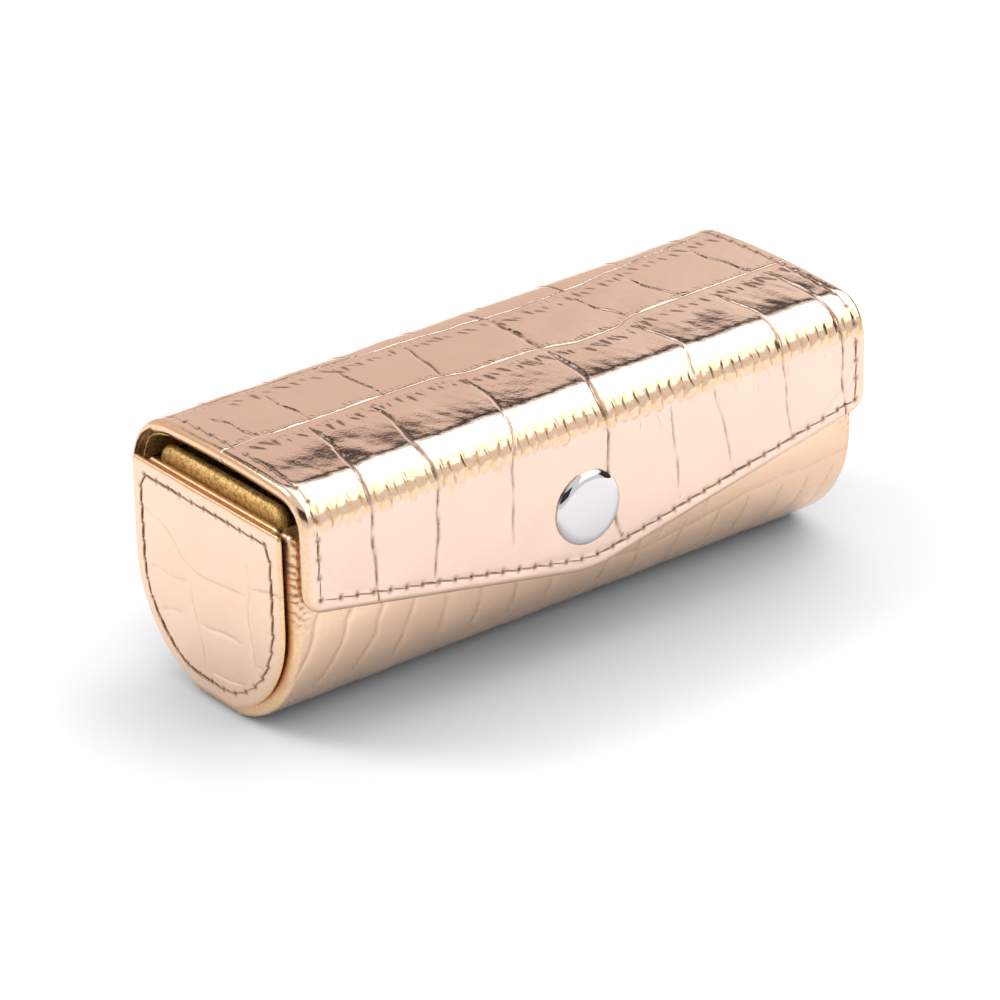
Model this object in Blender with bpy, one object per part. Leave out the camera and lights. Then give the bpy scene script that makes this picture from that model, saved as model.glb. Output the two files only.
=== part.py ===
"""Lipstick case: a leather-covered half-round tray, a hinged lid with a mirror, and a front flap
that closes on a press stud.

Frame: X runs along the case, -Y is the front where the flap closes, +Z is up. The origin is the
middle of the flat strip that the case stands on. All sizes below are in millimetres, and points
are turned to metres when a mesh or a curve is made.
"""

import math

import bmesh
import bpy
import numpy as np

MM = 0.001

# Driving dimensions
CASE_LENGTH = 95.0  # over the two end panels
SHELL_R = 17.7  # outer radius of the tray's round bottom
FOOT_WIDTH = 9.0  # flat strip under the tray
TRAY_TOP = 30.5  # height of the tray's walls
BACK_INNER_TOP = 28.3  # height of the board and lining at the back, where the hinge begins
LID_LENGTH = 92.6
LID_TOP = 36.9  # height of the lid where its roundings begin
LID_CROWN = 0.4  # rise of the lid's middle above that
BACK_R = 10.0  # outer rounding from the back wall into the lid
FRONT_R = 5.2  # outer rounding from the lid into the flap
FLAP_FACE_Y = -20.6  # outer face of the flap
FLAP_TIP_X = -0.6  # the hand-cut tip is a little off the middle
FLAP_TIP_Z = 11.9  # where the two straight halves of the flap's lower edge would meet
FLAP_SLOPE = 0.195  # rise of the lower edge per mm away from the tip
FLAP_CORNER_R = 2.5
FLAP_TIP_R = 18.0
SNAP_X = -1.6  # the press stud was set by hand too
SNAP_Z = 21.7  # height of the press stud
SNAP_CAP_R = 5.2

# Layers
GAP = 0.3  # glue line between the tray's layers, and clearance between touching pieces
TRAY_LEATHER = 1.2
TRAY_BOARD = 1.6
TRAY_LINING = 0.6
LIP_R = 1.5  # rounding where the outer leather turns in over the front wall
LID_GAP = 0.25
LID_LEATHER = 0.9
LID_BOARD = 0.65
LID_LINING = 0.35
THREAD_R = 0.25
THREAD_LIFT = 0.08  # clearance between a thread and the leather under it

# Ends of the tray, as distances from the middle of the case
END_FACE_X = CASE_LENGTH / 2
END_LEATHER = 0.9
END_BOARD_T = 1.0
PAD_T = 2.0
SHELL_END_X = 46.0
END_PANEL_R = 16.1
PAD_TOP = 32.3
END_STITCH_MARGIN = 2.0

# Mirror, flat under the lid
MIRROR_LENGTH = 80.0
MIRROR_WIDTH = 20.0
MIRROR_T = 1.0
MIRROR_Y = -1.5
MIRROR_TOP = 34.15

# Press stud, as distances from its axis
STUD_HEAD_R = 1.9
STUD_NECK_R = 1.5
STUD_FLANGE_R = 3.6
POST_R = 1.0
SOCKET_R = 4.2
SOCKET_BORE_R = 2.2
SHANK_R = 0.8

# Worked out from the above
FOOT_HALF = FOOT_WIDTH / 2
SHELL_Z = math.sqrt(SHELL_R**2 - FOOT_HALF**2)  # centre of the round bottom
BACK_C = (SHELL_R - BACK_R, LID_TOP + 0.1 - BACK_R)
FRONT_C = (FLAP_FACE_Y + FRONT_R, LID_TOP - FRONT_R)
# A leather fold of radius r that straightens turns about a point pi/4 of r out from its centre,
# in Y and in Z alike: there its length stays the same.
FOLD_OUT = math.pi / 4
LID_AXIS = (BACK_C[0] + FOLD_OUT * BACK_R, BACK_C[1] + FOLD_OUT * BACK_R)
FLAP_AXIS = (FRONT_C[0] - FOLD_OUT * FRONT_R, FRONT_C[1] + FOLD_OUT * FRONT_R)
LID_HALF = LID_LENGTH / 2
HINGE_FROM = math.asin((TRAY_TOP - BACK_C[1]) / BACK_R)
HALF_TURN = math.pi / 4  # each fold is split half-way round
SPLIT = 0.02  # radians left open on each side of a split


def arc(centre, radius, start, end, steps):
    """Points (y, z) on a circle from one angle to another, both ends included."""
    angles = np.linspace(start, end, steps + 1)
    return np.stack(
        [centre[0] + radius * np.cos(angles), centre[1] + radius * np.sin(angles)], axis=1
    )


def shell_path(depth, back_top, front_top, lip=False, steps=36):
    """The tray wall's line (y, z), that far inside its outer face, from back top to front top.

    The back wall leans in along the lid's back rounding and ends square to it, and the round
    bottom has a flat foot. With a lip, the line turns in over the board's front edge.
    """
    radius = SHELL_R - depth
    back_radius = BACK_R - depth
    top_angle = math.asin((back_top - BACK_C[1]) / BACK_R)
    foot_angle = math.asin((SHELL_Z - depth) / radius)
    end = [(-radius, front_top)]
    if lip:
        board_inside = SHELL_R - TRAY_LEATHER - GAP - TRAY_BOARD
        turn = arc((-SHELL_R + LIP_R, front_top - LIP_R), LIP_R - depth, math.pi, math.pi / 2, 5)
        end = [*turn, (-board_inside, front_top - depth)]
    return np.vstack([
        arc(BACK_C, back_radius, top_angle, 0.0, 5),
        arc((0.0, SHELL_Z), radius, 0.0, -foot_angle, steps // 2),
        arc((0.0, SHELL_Z), radius, -math.pi + foot_angle, -math.pi, steps // 2),
        end,
    ])


def crown_path(depth, start, end, steps=12):
    """The lid's line (y, z), that far inside its outer face, from the back split to the front one.

    Two roundings joined by a shallow parabola. start and end are angles on the roundings.
    """
    y_back, y_front = BACK_C[0], FRONT_C[0]
    y = np.linspace(y_back, y_front, steps + 1)[1:-1]
    across = (2 * y - y_back - y_front) / (y_back - y_front)
    drift = (y_back - y) / (y_back - y_front) * (BACK_C[1] + BACK_R - FRONT_C[1] - FRONT_R)
    z = BACK_C[1] + BACK_R - drift + LID_CROWN * (1 - across**2) - depth
    return np.vstack([
        arc(BACK_C, BACK_R - depth, start, math.pi / 2, 8),
        np.stack([y, z], axis=1),
        arc(FRONT_C, FRONT_R - depth, math.pi / 2, end, 6),
    ])


def d_outline(radius, top, corner, steps=32):
    """Closed outline (y, z) of a D-shaped end piece: a half circle below, two rounded corners above."""
    depth = SHELL_R - radius
    foot_angle = math.asin(min(1.0, (SHELL_Z - depth) / radius))
    return np.vstack([
        arc((radius - corner, top - corner), corner, math.pi / 2, 0.0, 5),
        arc((0.0, SHELL_Z), radius, 0.0, -foot_angle, steps // 2),
        arc((0.0, SHELL_Z), radius, -math.pi + foot_angle, -math.pi, steps // 2),
        arc((-radius + corner, top - corner), corner, math.pi, math.pi / 2, 5),
    ])


def flap_edge(x, inset=0.0):
    """Height of the flap's lower edge at x: a shallow V with a rounded tip."""
    across = math.cos(math.atan(FLAP_SLOPE))
    radius = FLAP_TIP_R - inset
    tangent = radius * math.sin(math.atan(FLAP_SLOPE))
    apex = FLAP_TIP_Z + inset / across
    x = np.abs(np.asarray(x, float) - FLAP_TIP_X)
    centre = apex + radius / across
    tip = centre - np.sqrt(np.maximum(radius**2 - x**2, 0.0))
    return np.where(x < tangent, tip, apex + FLAP_SLOPE * x)


def flap_stations(half):
    """Places along X where the flap's outline is read, closer together at its rounded corners."""
    straight = np.linspace(0, half - FLAP_CORNER_R, 14)
    corner = half - FLAP_CORNER_R + FLAP_CORNER_R * np.sin(np.linspace(0, math.pi / 2, 6))
    right = np.concatenate([straight, corner[1:]])
    return np.concatenate([-right[:0:-1], right])


def flap_bottom(x, half, inset):
    """Height of the flap's lower edge at x, with both its end corners rounded."""
    run = np.clip(np.abs(x) - (half - FLAP_CORNER_R), 0.0, FLAP_CORNER_R)
    rise = FLAP_CORNER_R - np.sqrt(FLAP_CORNER_R**2 - run**2)
    return flap_edge(x, inset) + rise


def flap_sheet(depth, half, inset):
    """One ply of the flap at a depth, as points [x station, along the path]: fold, then straight down."""
    xs = flap_stations(half)
    fold = arc(FRONT_C, FRONT_R - depth, math.pi - HALF_TURN + SPLIT, math.pi, 6)
    bottoms = flap_bottom(xs, half, inset)
    down = np.linspace(0, 1, 4)[1:]
    z_down = fold[-1, 1] + (bottoms[:, None] - fold[-1, 1]) * down
    y = np.concatenate([fold[:, 0], np.full(len(down), fold[-1, 0])])
    z = np.concatenate([np.repeat(fold[None, :, 1], len(xs), axis=0), z_down], axis=1)
    return np.stack([np.repeat(xs[:, None], len(y), axis=1), np.broadcast_to(y, z.shape), z], axis=2)


def along_x(path, xs):
    """A line (y, z) repeated at each place along X."""
    grid = np.empty((len(xs), len(path), 3))
    grid[:, :, 0] = np.asarray(xs)[:, None]
    grid[:, :, 1:] = path[None]
    return grid


# Materials: colour, metallic, roughness


def material(name, colour, metallic, roughness):
    made = bpy.data.materials.new(name)
    made.use_nodes = True
    shader = made.node_tree.nodes["Principled BSDF"]
    shader.inputs["Base Color"].default_value = (*colour, 1.0)
    shader.inputs["Metallic"].default_value = metallic
    shader.inputs["Roughness"].default_value = roughness
    return made


def make_materials():
    return {
        "rose_gold_leather": material("rose_gold_leather", (0.83, 0.56, 0.43), 0.85, 0.28),
        "gold_lining": material("gold_lining", (0.62, 0.38, 0.16), 0.7, 0.5),
        "greyboard": material("greyboard", (0.36, 0.32, 0.27), 0.0, 0.9),
        "brown_thread": material("brown_thread", (0.25, 0.13, 0.08), 0.0, 0.7),
        "polished_nickel": material("polished_nickel", (0.86, 0.86, 0.87), 1.0, 0.06),
        "spring_wire": material("spring_wire", (0.55, 0.56, 0.58), 1.0, 0.3),
        "mirror_glass": material("mirror_glass", (0.92, 0.93, 0.94), 1.0, 0.02),
    }


# Building


class Builder:
    """Puts each piece into the scene under the empty of the body that carries it."""

    def __init__(self):
        self.materials = make_materials()
        self.pivots = {"tray": None}
        self.places = {"tray": (0.0, 0.0, 0.0)}

    def pivot(self, body, name, place, parent):
        """An empty on a joint's axis, at a place (x, y, z) in mm."""
        empty = bpy.data.objects.new(name, None)
        bpy.context.collection.objects.link(empty)
        above = self.places[parent]
        empty.location = [(a - b) * MM for a, b in zip(place, above)]
        empty.parent = self.pivots[parent]
        self.pivots[body], self.places[body] = empty, place

    def place(self, piece, body, slot):
        piece.parent = self.pivots[body]
        if slot:
            piece.data.materials.append(self.materials[slot])
        bpy.context.collection.objects.link(piece)
        return piece

    def local(self, points, body):
        return (np.asarray(points, float) - self.places[body]) * MM

    def mesh(self, name, body, slot, points, faces):
        """A closed mesh from points in mm, its faces turned outwards, and smooth where it is round."""
        data = bpy.data.meshes.new(name)
        data.from_pydata(self.local(points, body).tolist(), [], faces)
        shape = bmesh.new()
        shape.from_mesh(data)
        bmesh.ops.recalc_face_normals(shape, faces=shape.faces)
        shape.to_mesh(data)
        shape.free()
        data.shade_smooth()
        data.set_sharp_from_angle(angle=math.radians(30))
        return self.place(bpy.data.objects.new(name, data), body, slot)

    def sheet(self, name, body, slot, outer, inner):
        """A closed solid between two grids of points of the same shape."""
        rows, columns = outer.shape[:2]
        points = np.vstack([outer.reshape(-1, 3), inner.reshape(-1, 3)])
        index = np.arange(rows * columns).reshape(rows, columns)
        under = index + rows * columns
        faces = []
        for grid in (index, under):
            quads = np.stack([grid[:-1, :-1], grid[1:, :-1], grid[1:, 1:], grid[:-1, 1:]], axis=-1)
            faces += quads.reshape(-1, 4).tolist()
        rim = np.concatenate([index[0], index[1:, -1], index[-1, -2::-1], index[-2:0:-1, 0]])
        below = rim + rows * columns
        faces += np.stack([rim, np.roll(rim, -1), np.roll(below, -1), below], axis=1).tolist()
        return self.mesh(name, body, slot, points, faces)

    def prism(self, name, body, slot, outline, x_from, x_to):
        """A closed outline (y, z) carried straight along X."""
        count = len(outline)
        points = np.vstack([
            np.column_stack([np.full(count, x), outline]) for x in (x_from, x_to)
        ])
        ring = np.arange(count)
        sides = np.stack([ring, np.roll(ring, -1), np.roll(ring, -1) + count, ring + count], axis=1)
        faces = [ring.tolist(), (ring[::-1] + count).tolist()] + sides.tolist()
        return self.mesh(name, body, slot, points, faces)

    def turned(self, name, body, slot, profile, steps=28):
        """A closed profile of (radius, y) turned about the press stud's axis.

        Points at radius 0 become one point each.
        """
        angles = np.arange(steps) * 2 * math.pi / steps
        points, rings = [], []
        for radius, y in profile:
            rings.append(np.full(steps, len(points)) if radius == 0 else len(points) + np.arange(steps))
            if radius == 0:
                points.append((SNAP_X, y, SNAP_Z))
            else:
                points += [
                    (SNAP_X + radius * math.cos(a), y, SNAP_Z + radius * math.sin(a)) for a in angles
                ]
        faces = []
        pairs = zip(rings, rings[1:] + rings[:1])
        for (ring, after), (here, there) in zip(pairs, zip(profile, profile[1:] + profile[:1])):
            if here[0] == 0 and there[0] == 0:
                continue
            for quad in zip(ring, np.roll(ring, -1), np.roll(after, -1), after):
                faces.append([int(v) for v in dict.fromkeys(quad)])
        return self.mesh(name, body, slot, points, faces)

    def wire(self, name, body, slot, points, radius, closed, sides=2):
        """A round thread or wire along points in mm."""
        data = bpy.data.curves.new(name, "CURVE")
        data.dimensions = "3D"
        data.bevel_depth = radius * MM
        data.bevel_resolution = sides
        data.use_fill_caps = not closed
        line = data.splines.new("POLY")
        line.points.add(len(points) - 1)
        flat = np.column_stack([self.local(points, body), np.ones(len(points))])
        line.points.foreach_set("co", flat.ravel())
        line.use_cyclic_u = closed
        return self.place(bpy.data.objects.new(name, data), body, slot)

    def bore(self, piece, body, radius, y_from, y_to):
        """A round hole along Y on the press stud's axis, cut by a hidden cylinder."""
        profile = [(0, y_from), (radius, y_from), (radius, y_to), (0, y_to)]
        cutter = self.turned(f"{piece.name}_hole", body, None, profile, 24)
        cutter.hide_render = True
        cutter.display_type = "WIRE"
        cut = piece.modifiers.new("snap_hole", "BOOLEAN")
        cut.operation = "DIFFERENCE"
        cut.object = cutter


# The tray


def make_tray(build):
    layers = [
        ("tray_leather", "rose_gold_leather", 0.0, TRAY_LEATHER, SHELL_END_X, TRAY_TOP, TRAY_TOP),
        (
            "tray_board", "greyboard", TRAY_LEATHER + GAP, TRAY_BOARD,
            SHELL_END_X - GAP, BACK_INNER_TOP, TRAY_TOP - TRAY_LEATHER - GAP,
        ),
        (
            "tray_lining", "gold_lining", TRAY_LEATHER + TRAY_BOARD + 2 * GAP, TRAY_LINING,
            END_FACE_X - END_LEATHER - GAP - END_BOARD_T - GAP, BACK_INNER_TOP, TRAY_TOP - GAP,
        ),
    ]
    hole_radius = POST_R + 0.3
    for name, slot, depth, thickness, half, back_top, front_top in layers:
        ends = (-half, half)
        lip = name == "tray_leather"
        outer = along_x(shell_path(depth, back_top, front_top, lip), ends)
        inner = along_x(shell_path(depth + thickness, back_top, front_top, lip), ends)
        piece = build.sheet(name, "tray", slot, outer, inner)
        build.bore(piece, "tray", hole_radius, -SHELL_R - 1.0, -SHELL_R + 6.0)


def make_ends(build):
    board_x = END_FACE_X - END_LEATHER - GAP
    pad_x = board_x - END_BOARD_T - GAP
    board_r = SHELL_R - TRAY_LEATHER - TRAY_BOARD - 2 * GAP
    pad_r = board_r - TRAY_LINING - GAP
    stitch_r = END_PANEL_R - END_STITCH_MARGIN
    pieces = [
        ("end_leather", "rose_gold_leather", END_PANEL_R, TRAY_TOP, 0.8, END_FACE_X, END_LEATHER),
        ("end_board", "greyboard", board_r, TRAY_TOP - 0.1, 0.8, board_x, END_BOARD_T),
        ("end_pad", "gold_lining", pad_r, PAD_TOP, 2.2, pad_x, PAD_T),
    ]
    for side, sign in (("left", -1), ("right", 1)):
        for name, slot, radius, top, corner, x, thickness in pieces:
            outline = d_outline(radius, top, corner)
            faces_x = sorted((sign * x, sign * (x - thickness)))
            build.prism(f"{name}_{side}", "tray", slot, outline, *faces_x)
        line = d_outline(stitch_r, TRAY_TOP - END_STITCH_MARGIN, 0.8)
        x = sign * (END_FACE_X + THREAD_LIFT + THREAD_R)
        points = np.column_stack([np.full(len(line), x), line])
        build.wire(f"end_stitching_{side}", "tray", "brown_thread", points, THREAD_R, True, sides=1)


def make_hinge(build):
    """The strip of leather that bends when the lid opens, and the lining that bends inside it."""
    start, end = HINGE_FROM + SPLIT, HALF_TURN - SPLIT
    strips = [
        ("hinge_leather", "rose_gold_leather", 0.0, TRAY_LEATHER, start),
        ("hinge_lining", "gold_lining", TRAY_LEATHER + GAP, LID_LINING, start),
    ]
    for name, slot, depth, thickness, begin in strips:
        outer = along_x(arc(BACK_C, BACK_R - depth, begin, end, 4), (-LID_HALF, LID_HALF))
        inner = along_x(arc(BACK_C, BACK_R - depth - thickness, begin, end, 4), (-LID_HALF, LID_HALF))
        build.sheet(name, "tray", slot, outer, inner)


# The lid


def make_lid(build):
    start, end = HALF_TURN + SPLIT, math.pi - HALF_TURN - SPLIT
    board_depth = LID_LEATHER + LID_GAP
    lining_depth = board_depth + LID_BOARD + LID_GAP
    board_start, board_end = math.radians(76), math.radians(100)
    layers = [
        ("lid_leather", "rose_gold_leather", 0.0, LID_LEATHER, LID_HALF, start, end),
        ("lid_board", "greyboard", board_depth, LID_BOARD, LID_HALF - 1.2, board_start, board_end),
        ("lid_lining", "gold_lining", lining_depth, LID_LINING, LID_HALF - 0.3, start, end),
    ]
    for name, slot, depth, thickness, half, first, last in layers:
        ends = (-half, half)
        outer = along_x(crown_path(depth, first, last), ends)
        inner = along_x(crown_path(depth + thickness, first, last), ends)
        build.sheet(name, "lid", slot, outer, inner)
    line = crown_path(-THREAD_LIFT - THREAD_R, math.radians(52), end)
    for side, sign in (("left", -1), ("right", 1)):
        points = np.column_stack([np.full(len(line), sign * (LID_HALF - 2.0)), line])
        build.wire(f"lid_stitching_{side}", "lid", "brown_thread", points, THREAD_R, False, sides=1)
    make_mirror(build)


def make_mirror(build):
    """A flat strip of glass with rounded corners, glued under the lid."""
    corner, half_x, half_y = 2.0, MIRROR_LENGTH / 2 - 2.0, MIRROR_WIDTH / 2 - 2.0
    ring = np.vstack([
        arc((sx * half_x, sy * half_y), corner, first, first + math.pi / 2, 4)
        for sx, sy, first in ((1, 1, 0), (-1, 1, math.pi / 2), (-1, -1, math.pi), (1, -1, 1.5 * math.pi))
    ])
    count = len(ring)
    points = np.vstack([
        np.column_stack([ring[:, 0], ring[:, 1] + MIRROR_Y, np.full(count, z)])
        for z in (MIRROR_TOP - MIRROR_T, MIRROR_TOP)
    ])
    index = np.arange(count)
    sides = np.stack([index, np.roll(index, -1), np.roll(index, -1) + count, index + count], axis=1)
    faces = [index[::-1].tolist(), (index + count).tolist()] + sides.tolist()
    build.mesh("mirror", "lid", "mirror_glass", points, faces)


# The flap and its press stud


def make_flap(build):
    stiffener_depth = LID_LEATHER + LID_GAP
    lining_depth = stiffener_depth + LID_BOARD + LID_GAP
    layers = [
        ("flap_leather", "rose_gold_leather", 0.0, LID_LEATHER, LID_HALF, 0.0, SHANK_R + 0.3),
        ("flap_stiffener", "greyboard", stiffener_depth, LID_BOARD, LID_HALF - 1.2, 1.2, SOCKET_R + 0.3),
        ("flap_lining", "gold_lining", lining_depth, LID_LINING, LID_HALF - 0.3, 0.3, SOCKET_R + 0.3),
    ]
    for name, slot, depth, thickness, half, inset, hole in layers:
        outer = flap_sheet(depth, half, inset)
        inner = flap_sheet(depth + thickness, half, inset)
        piece = build.sheet(name, "flap", slot, outer, inner)
        build.bore(piece, "flap", hole, FLAP_FACE_Y - 1.0, FLAP_FACE_Y + 3.2)
    make_flap_stitching(build)


def make_flap_stitching(build, margin=2.0, corner=0.8):
    """Down one side of the flap, along its lower edge and up the other side."""
    lift = THREAD_LIFT + THREAD_R
    x_side = LID_HALF - margin
    fold = arc(FRONT_C, FRONT_R + lift, math.pi - HALF_TURN + SPLIT, math.pi, 6)
    bottom_x = np.linspace(-x_side + corner, x_side - corner, 33)
    bottom_z = flap_edge(bottom_x, margin)
    left_side = [(-x_side, y, z) for y, z in fold]
    left_side.append((-x_side, fold[-1, 0], float(bottom_z[0]) + corner))
    bottom = [(x, fold[-1, 0], z) for x, z in zip(bottom_x, bottom_z)]
    right_side = [(-x, y, z) for x, y, z in left_side[::-1]]
    points = left_side + bottom + right_side
    build.wire("flap_stitching", "flap", "brown_thread", points, THREAD_R, False, sides=1)


def make_snap(build):
    """The press stud. On the tray: a stud set by a post from inside. On the flap: cap, socket, spring."""
    wall = -SHELL_R
    inside = wall + TRAY_LEATHER + TRAY_BOARD + TRAY_LINING + 2 * GAP + 0.1
    stud_tip = wall - 1.15
    build.turned("snap_stud", "tray", "polished_nickel", [
        (POST_R + 0.2, wall - 0.05), (STUD_FLANGE_R, wall - 0.05), (STUD_FLANGE_R, wall - 0.2),
        (STUD_NECK_R, wall - 0.25), (STUD_NECK_R, wall - 0.5), (STUD_HEAD_R, wall - 0.7),
        (STUD_HEAD_R, wall - 0.95), (STUD_HEAD_R - 0.3, stud_tip), (0, stud_tip),
        (0, wall - 0.9), (POST_R + 0.2, wall - 0.9),
    ])
    build.turned("snap_post", "tray", "polished_nickel", [
        (0, wall - 0.7), (POST_R, wall - 0.7), (POST_R, inside), (STUD_FLANGE_R, inside),
        (STUD_FLANGE_R, inside + 0.3), (STUD_FLANGE_R - 0.4, inside + 0.5), (0, inside + 0.5),
    ])
    floor = FLAP_FACE_Y + LID_LEATHER + 0.15
    mouth = wall - 0.5
    build.turned("snap_socket", "flap", "polished_nickel", [
        (SHANK_R + 0.15, floor), (SOCKET_R - 0.3, floor), (SOCKET_R, floor + 0.3), (SOCKET_R, mouth - 0.3),
        (SOCKET_R - 0.3, mouth), (SOCKET_BORE_R, mouth), (SOCKET_BORE_R, mouth - 0.2),
        (SOCKET_BORE_R + 0.9, mouth - 0.2), (SOCKET_BORE_R + 0.9, mouth - 0.75),
        (SOCKET_BORE_R, mouth - 0.75), (SOCKET_BORE_R, floor + 0.25), (SHANK_R + 0.15, floor + 0.25),
    ])
    spring_r = SOCKET_BORE_R + 0.4
    sweep = np.radians(np.linspace(25, 335, 26)) + math.pi / 2
    points = [
        (SNAP_X + spring_r * math.cos(a), mouth - 0.475, SNAP_Z + spring_r * math.sin(a)) for a in sweep
    ]
    build.wire("snap_spring", "flap", "spring_wire", points, 0.22, False, sides=1)
    face = FLAP_FACE_Y - 0.06
    dome = [
        (SNAP_CAP_R * math.cos(a), face - 0.35 - 1.15 * math.sin(a))
        for a in np.linspace(0, math.pi / 2, 9)[:-1]
    ]
    build.turned("snap_cap", "flap", "polished_nickel", [
        (0, floor + 0.5), (1.3, floor + 0.5), (1.3, floor + 0.35), (SHANK_R, floor + 0.35),
        (SHANK_R, face), (SNAP_CAP_R - 0.3, face), (SNAP_CAP_R, face - 0.2), *dome, (0, face - 1.5),
    ], 40)


def clear_scene():
    for old in list(bpy.data.objects):
        bpy.data.objects.remove(old, do_unlink=True)


def main():
    clear_scene()
    build = Builder()
    build.pivot("lid", "lid_hinge_axis", (0.0, *LID_AXIS), "tray")
    build.pivot("flap", "flap_fold_axis", (0.0, *FLAP_AXIS), "lid")
    make_tray(build)
    make_ends(build)
    make_hinge(build)
    make_lid(build)
    make_flap(build)
    make_snap(build)


main()
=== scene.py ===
"""The looks of a lipstick case: crocodile-embossed rose gold foil leather over board, stitched
edges, a gold glitter lining, a mirror and a polished press stud.

Run as a script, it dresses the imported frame. Sizes inside the functions are in millimetres, in
the frame of the case: X along it, -Y the front, +Z up. Points are turned to metres when a mesh
is made.
"""

import math

import bpy
import numpy as np
from bpy.props import FloatProperty, FloatVectorProperty, PointerProperty
from mathutils import Matrix, Vector


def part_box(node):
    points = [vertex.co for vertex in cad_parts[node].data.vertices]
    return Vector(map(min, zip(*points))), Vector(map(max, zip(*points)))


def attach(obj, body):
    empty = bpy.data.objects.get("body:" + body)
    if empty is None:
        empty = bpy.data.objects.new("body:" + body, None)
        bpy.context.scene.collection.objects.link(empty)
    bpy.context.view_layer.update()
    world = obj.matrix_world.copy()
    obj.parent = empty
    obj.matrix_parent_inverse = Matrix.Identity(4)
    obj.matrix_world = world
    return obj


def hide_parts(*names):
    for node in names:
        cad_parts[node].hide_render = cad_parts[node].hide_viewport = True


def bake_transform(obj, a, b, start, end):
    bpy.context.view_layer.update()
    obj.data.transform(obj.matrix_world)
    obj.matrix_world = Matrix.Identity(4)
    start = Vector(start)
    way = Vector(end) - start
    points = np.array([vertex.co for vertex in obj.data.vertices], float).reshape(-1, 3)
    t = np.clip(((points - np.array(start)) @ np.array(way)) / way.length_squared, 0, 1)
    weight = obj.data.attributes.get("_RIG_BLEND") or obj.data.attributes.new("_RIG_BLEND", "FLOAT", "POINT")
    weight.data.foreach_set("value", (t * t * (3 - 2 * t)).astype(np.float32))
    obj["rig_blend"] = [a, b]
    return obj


bl_info = {
    "name": "Lipstick Case",
    "version": (1, 0, 0),
    "blender": (4, 5, 0),
    "location": "3D View > Sidebar > Lipstick Case",
    "description": "Embossed foil leather, stitching, lining and press stud of a lipstick case",
    "category": "Object",
}

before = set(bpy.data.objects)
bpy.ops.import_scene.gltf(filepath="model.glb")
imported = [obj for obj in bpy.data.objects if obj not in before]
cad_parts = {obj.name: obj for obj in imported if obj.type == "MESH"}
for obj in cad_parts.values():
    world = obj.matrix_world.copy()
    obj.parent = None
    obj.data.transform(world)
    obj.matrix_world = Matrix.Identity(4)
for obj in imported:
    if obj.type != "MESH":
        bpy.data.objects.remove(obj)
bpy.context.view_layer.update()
MM = 0.001


def box_mm(node):
    """Lowest and highest corner of a CAD node, in millimetres."""
    low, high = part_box(node)
    return np.array(low) / MM, np.array(high) / MM


def linear(code):
    """An sRGB hex colour as linear RGB."""
    parts = np.array([int(code[i : i + 2], 16) for i in (1, 3, 5)]) / 255
    return tuple(np.where(parts <= 0.04045, parts / 12.92, ((parts + 0.055) / 1.055) ** 2.4))


# Sizes read from the frame

SHELL_R, TRAY_TOP = box_mm("tray_leather")[1][1:]
LID_HALF = box_mm("lid_leather")[1][0] + 0.3
FLAP_FACE, FLAP_LOW = box_mm("flap_leather")[0][1:]
PANEL_BACK, END_FACE = (corner[0] for corner in box_mm("end_leather_right"))
CAP_LOW, CAP_HIGH = box_mm("snap_cap")
SNAP_X, SNAP_Z = (CAP_LOW[0] + CAP_HIGH[0]) / 2, (CAP_LOW[2] + CAP_HIGH[2]) / 2
CAP_R = (CAP_HIGH[0] - CAP_LOW[0]) / 2

# Shape of the case that the boxes can't tell

FOOT_HALF = 4.5
SHELL_Z = math.sqrt(SHELL_R**2 - FOOT_HALF**2)
BACK_R = 9.0  # rounding from the back wall into the lid
FRONT_R = 5.2  # rounding from the lid into the flap
ROOF_TILT = 0.07  # slope of the crowned lid at its roundings
BACK_Z = 28.0  # where the back rounding begins
SEAM_Z = 26.0  # where the tray's leather hands over to the lid's, under the back rounding
FLAP_SLOPE = 0.195
FLAP_TIP_X = -0.6
FLAP_TIP_R = 18.0
FLAP_CORNER = 2.5
LIP_R = 1.5  # where the leather turns in over the front wall
LIP_DEPTH = 3.1
TRAY_T = 1.2
TURN_IN = 0.65  # rounded edge of the tray's leather, where it turns in at each end
WALL_LEDGE_Z = 28.75  # top of the back wall inside, where the tray's lining ends
HINGE_LINING_Z = 29.1  # where the lid's lining begins
SOCKET_HOLE_R = 4.45
HINGE_T = 1.25
LID_T = 2.05  # leather, board and turned edge of the lid
LINING_T = 0.33
STITCH_MARGIN = 2.0
THREAD_R = 0.12
CRINKLE_FROM = 3.6  # distances round the front rounding where the foil is crinkled
CRINKLE_TO = 7.2


def colour(name, description, code):
    """A colour to choose, with an sRGB hex default."""
    return FloatVectorProperty(
        name=name, description=description, subtype="COLOR", default=linear(code), min=0, max=1,
    )


def length(name, description, default):
    """A length to choose, in metres."""
    return FloatProperty(
        name=name, description=description, default=default, unit="LENGTH", precision=5,
    )


class LeatherSettings(bpy.types.PropertyGroup):
    """Foil leather: its colours, and how deep the scales are pressed."""

    foil: colour("Foil", "Rose gold of the smooth foil", "#F0D3C1")
    satin: colour("Satin foil", "Deeper gold of the tray's duller foil", "#F8D3B4")
    # The worn gold is also painted more thickly in the valleys between the pleats' humps, as painted shade.
    worn: colour("Worn foil", "Yellower gold where the foil is stretched or crinkled", "#E6BD8A")
    # The groove brown is also the colour of the painted shade in the needle holes and of the painted shadow
    # ticks under the pleats.
    crack_and_shade: colour("Groove", "Brown gold at the bottom of a groove", "#6A4226")
    gloss: FloatProperty(
        name="Roughness", description="Roughness of the smooth foil", default=0.085, min=0, max=1,
        subtype="FACTOR",
    )
    groove_depth: length("Groove depth", "Depth of the lines between scales", 0.00020)
    groove_width: length("Groove width", "Half width of the lines between scales", 0.00017)
    edge: length("Edge rounding", "Radius of the turned edges of lid and flap", 0.00095)


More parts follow.
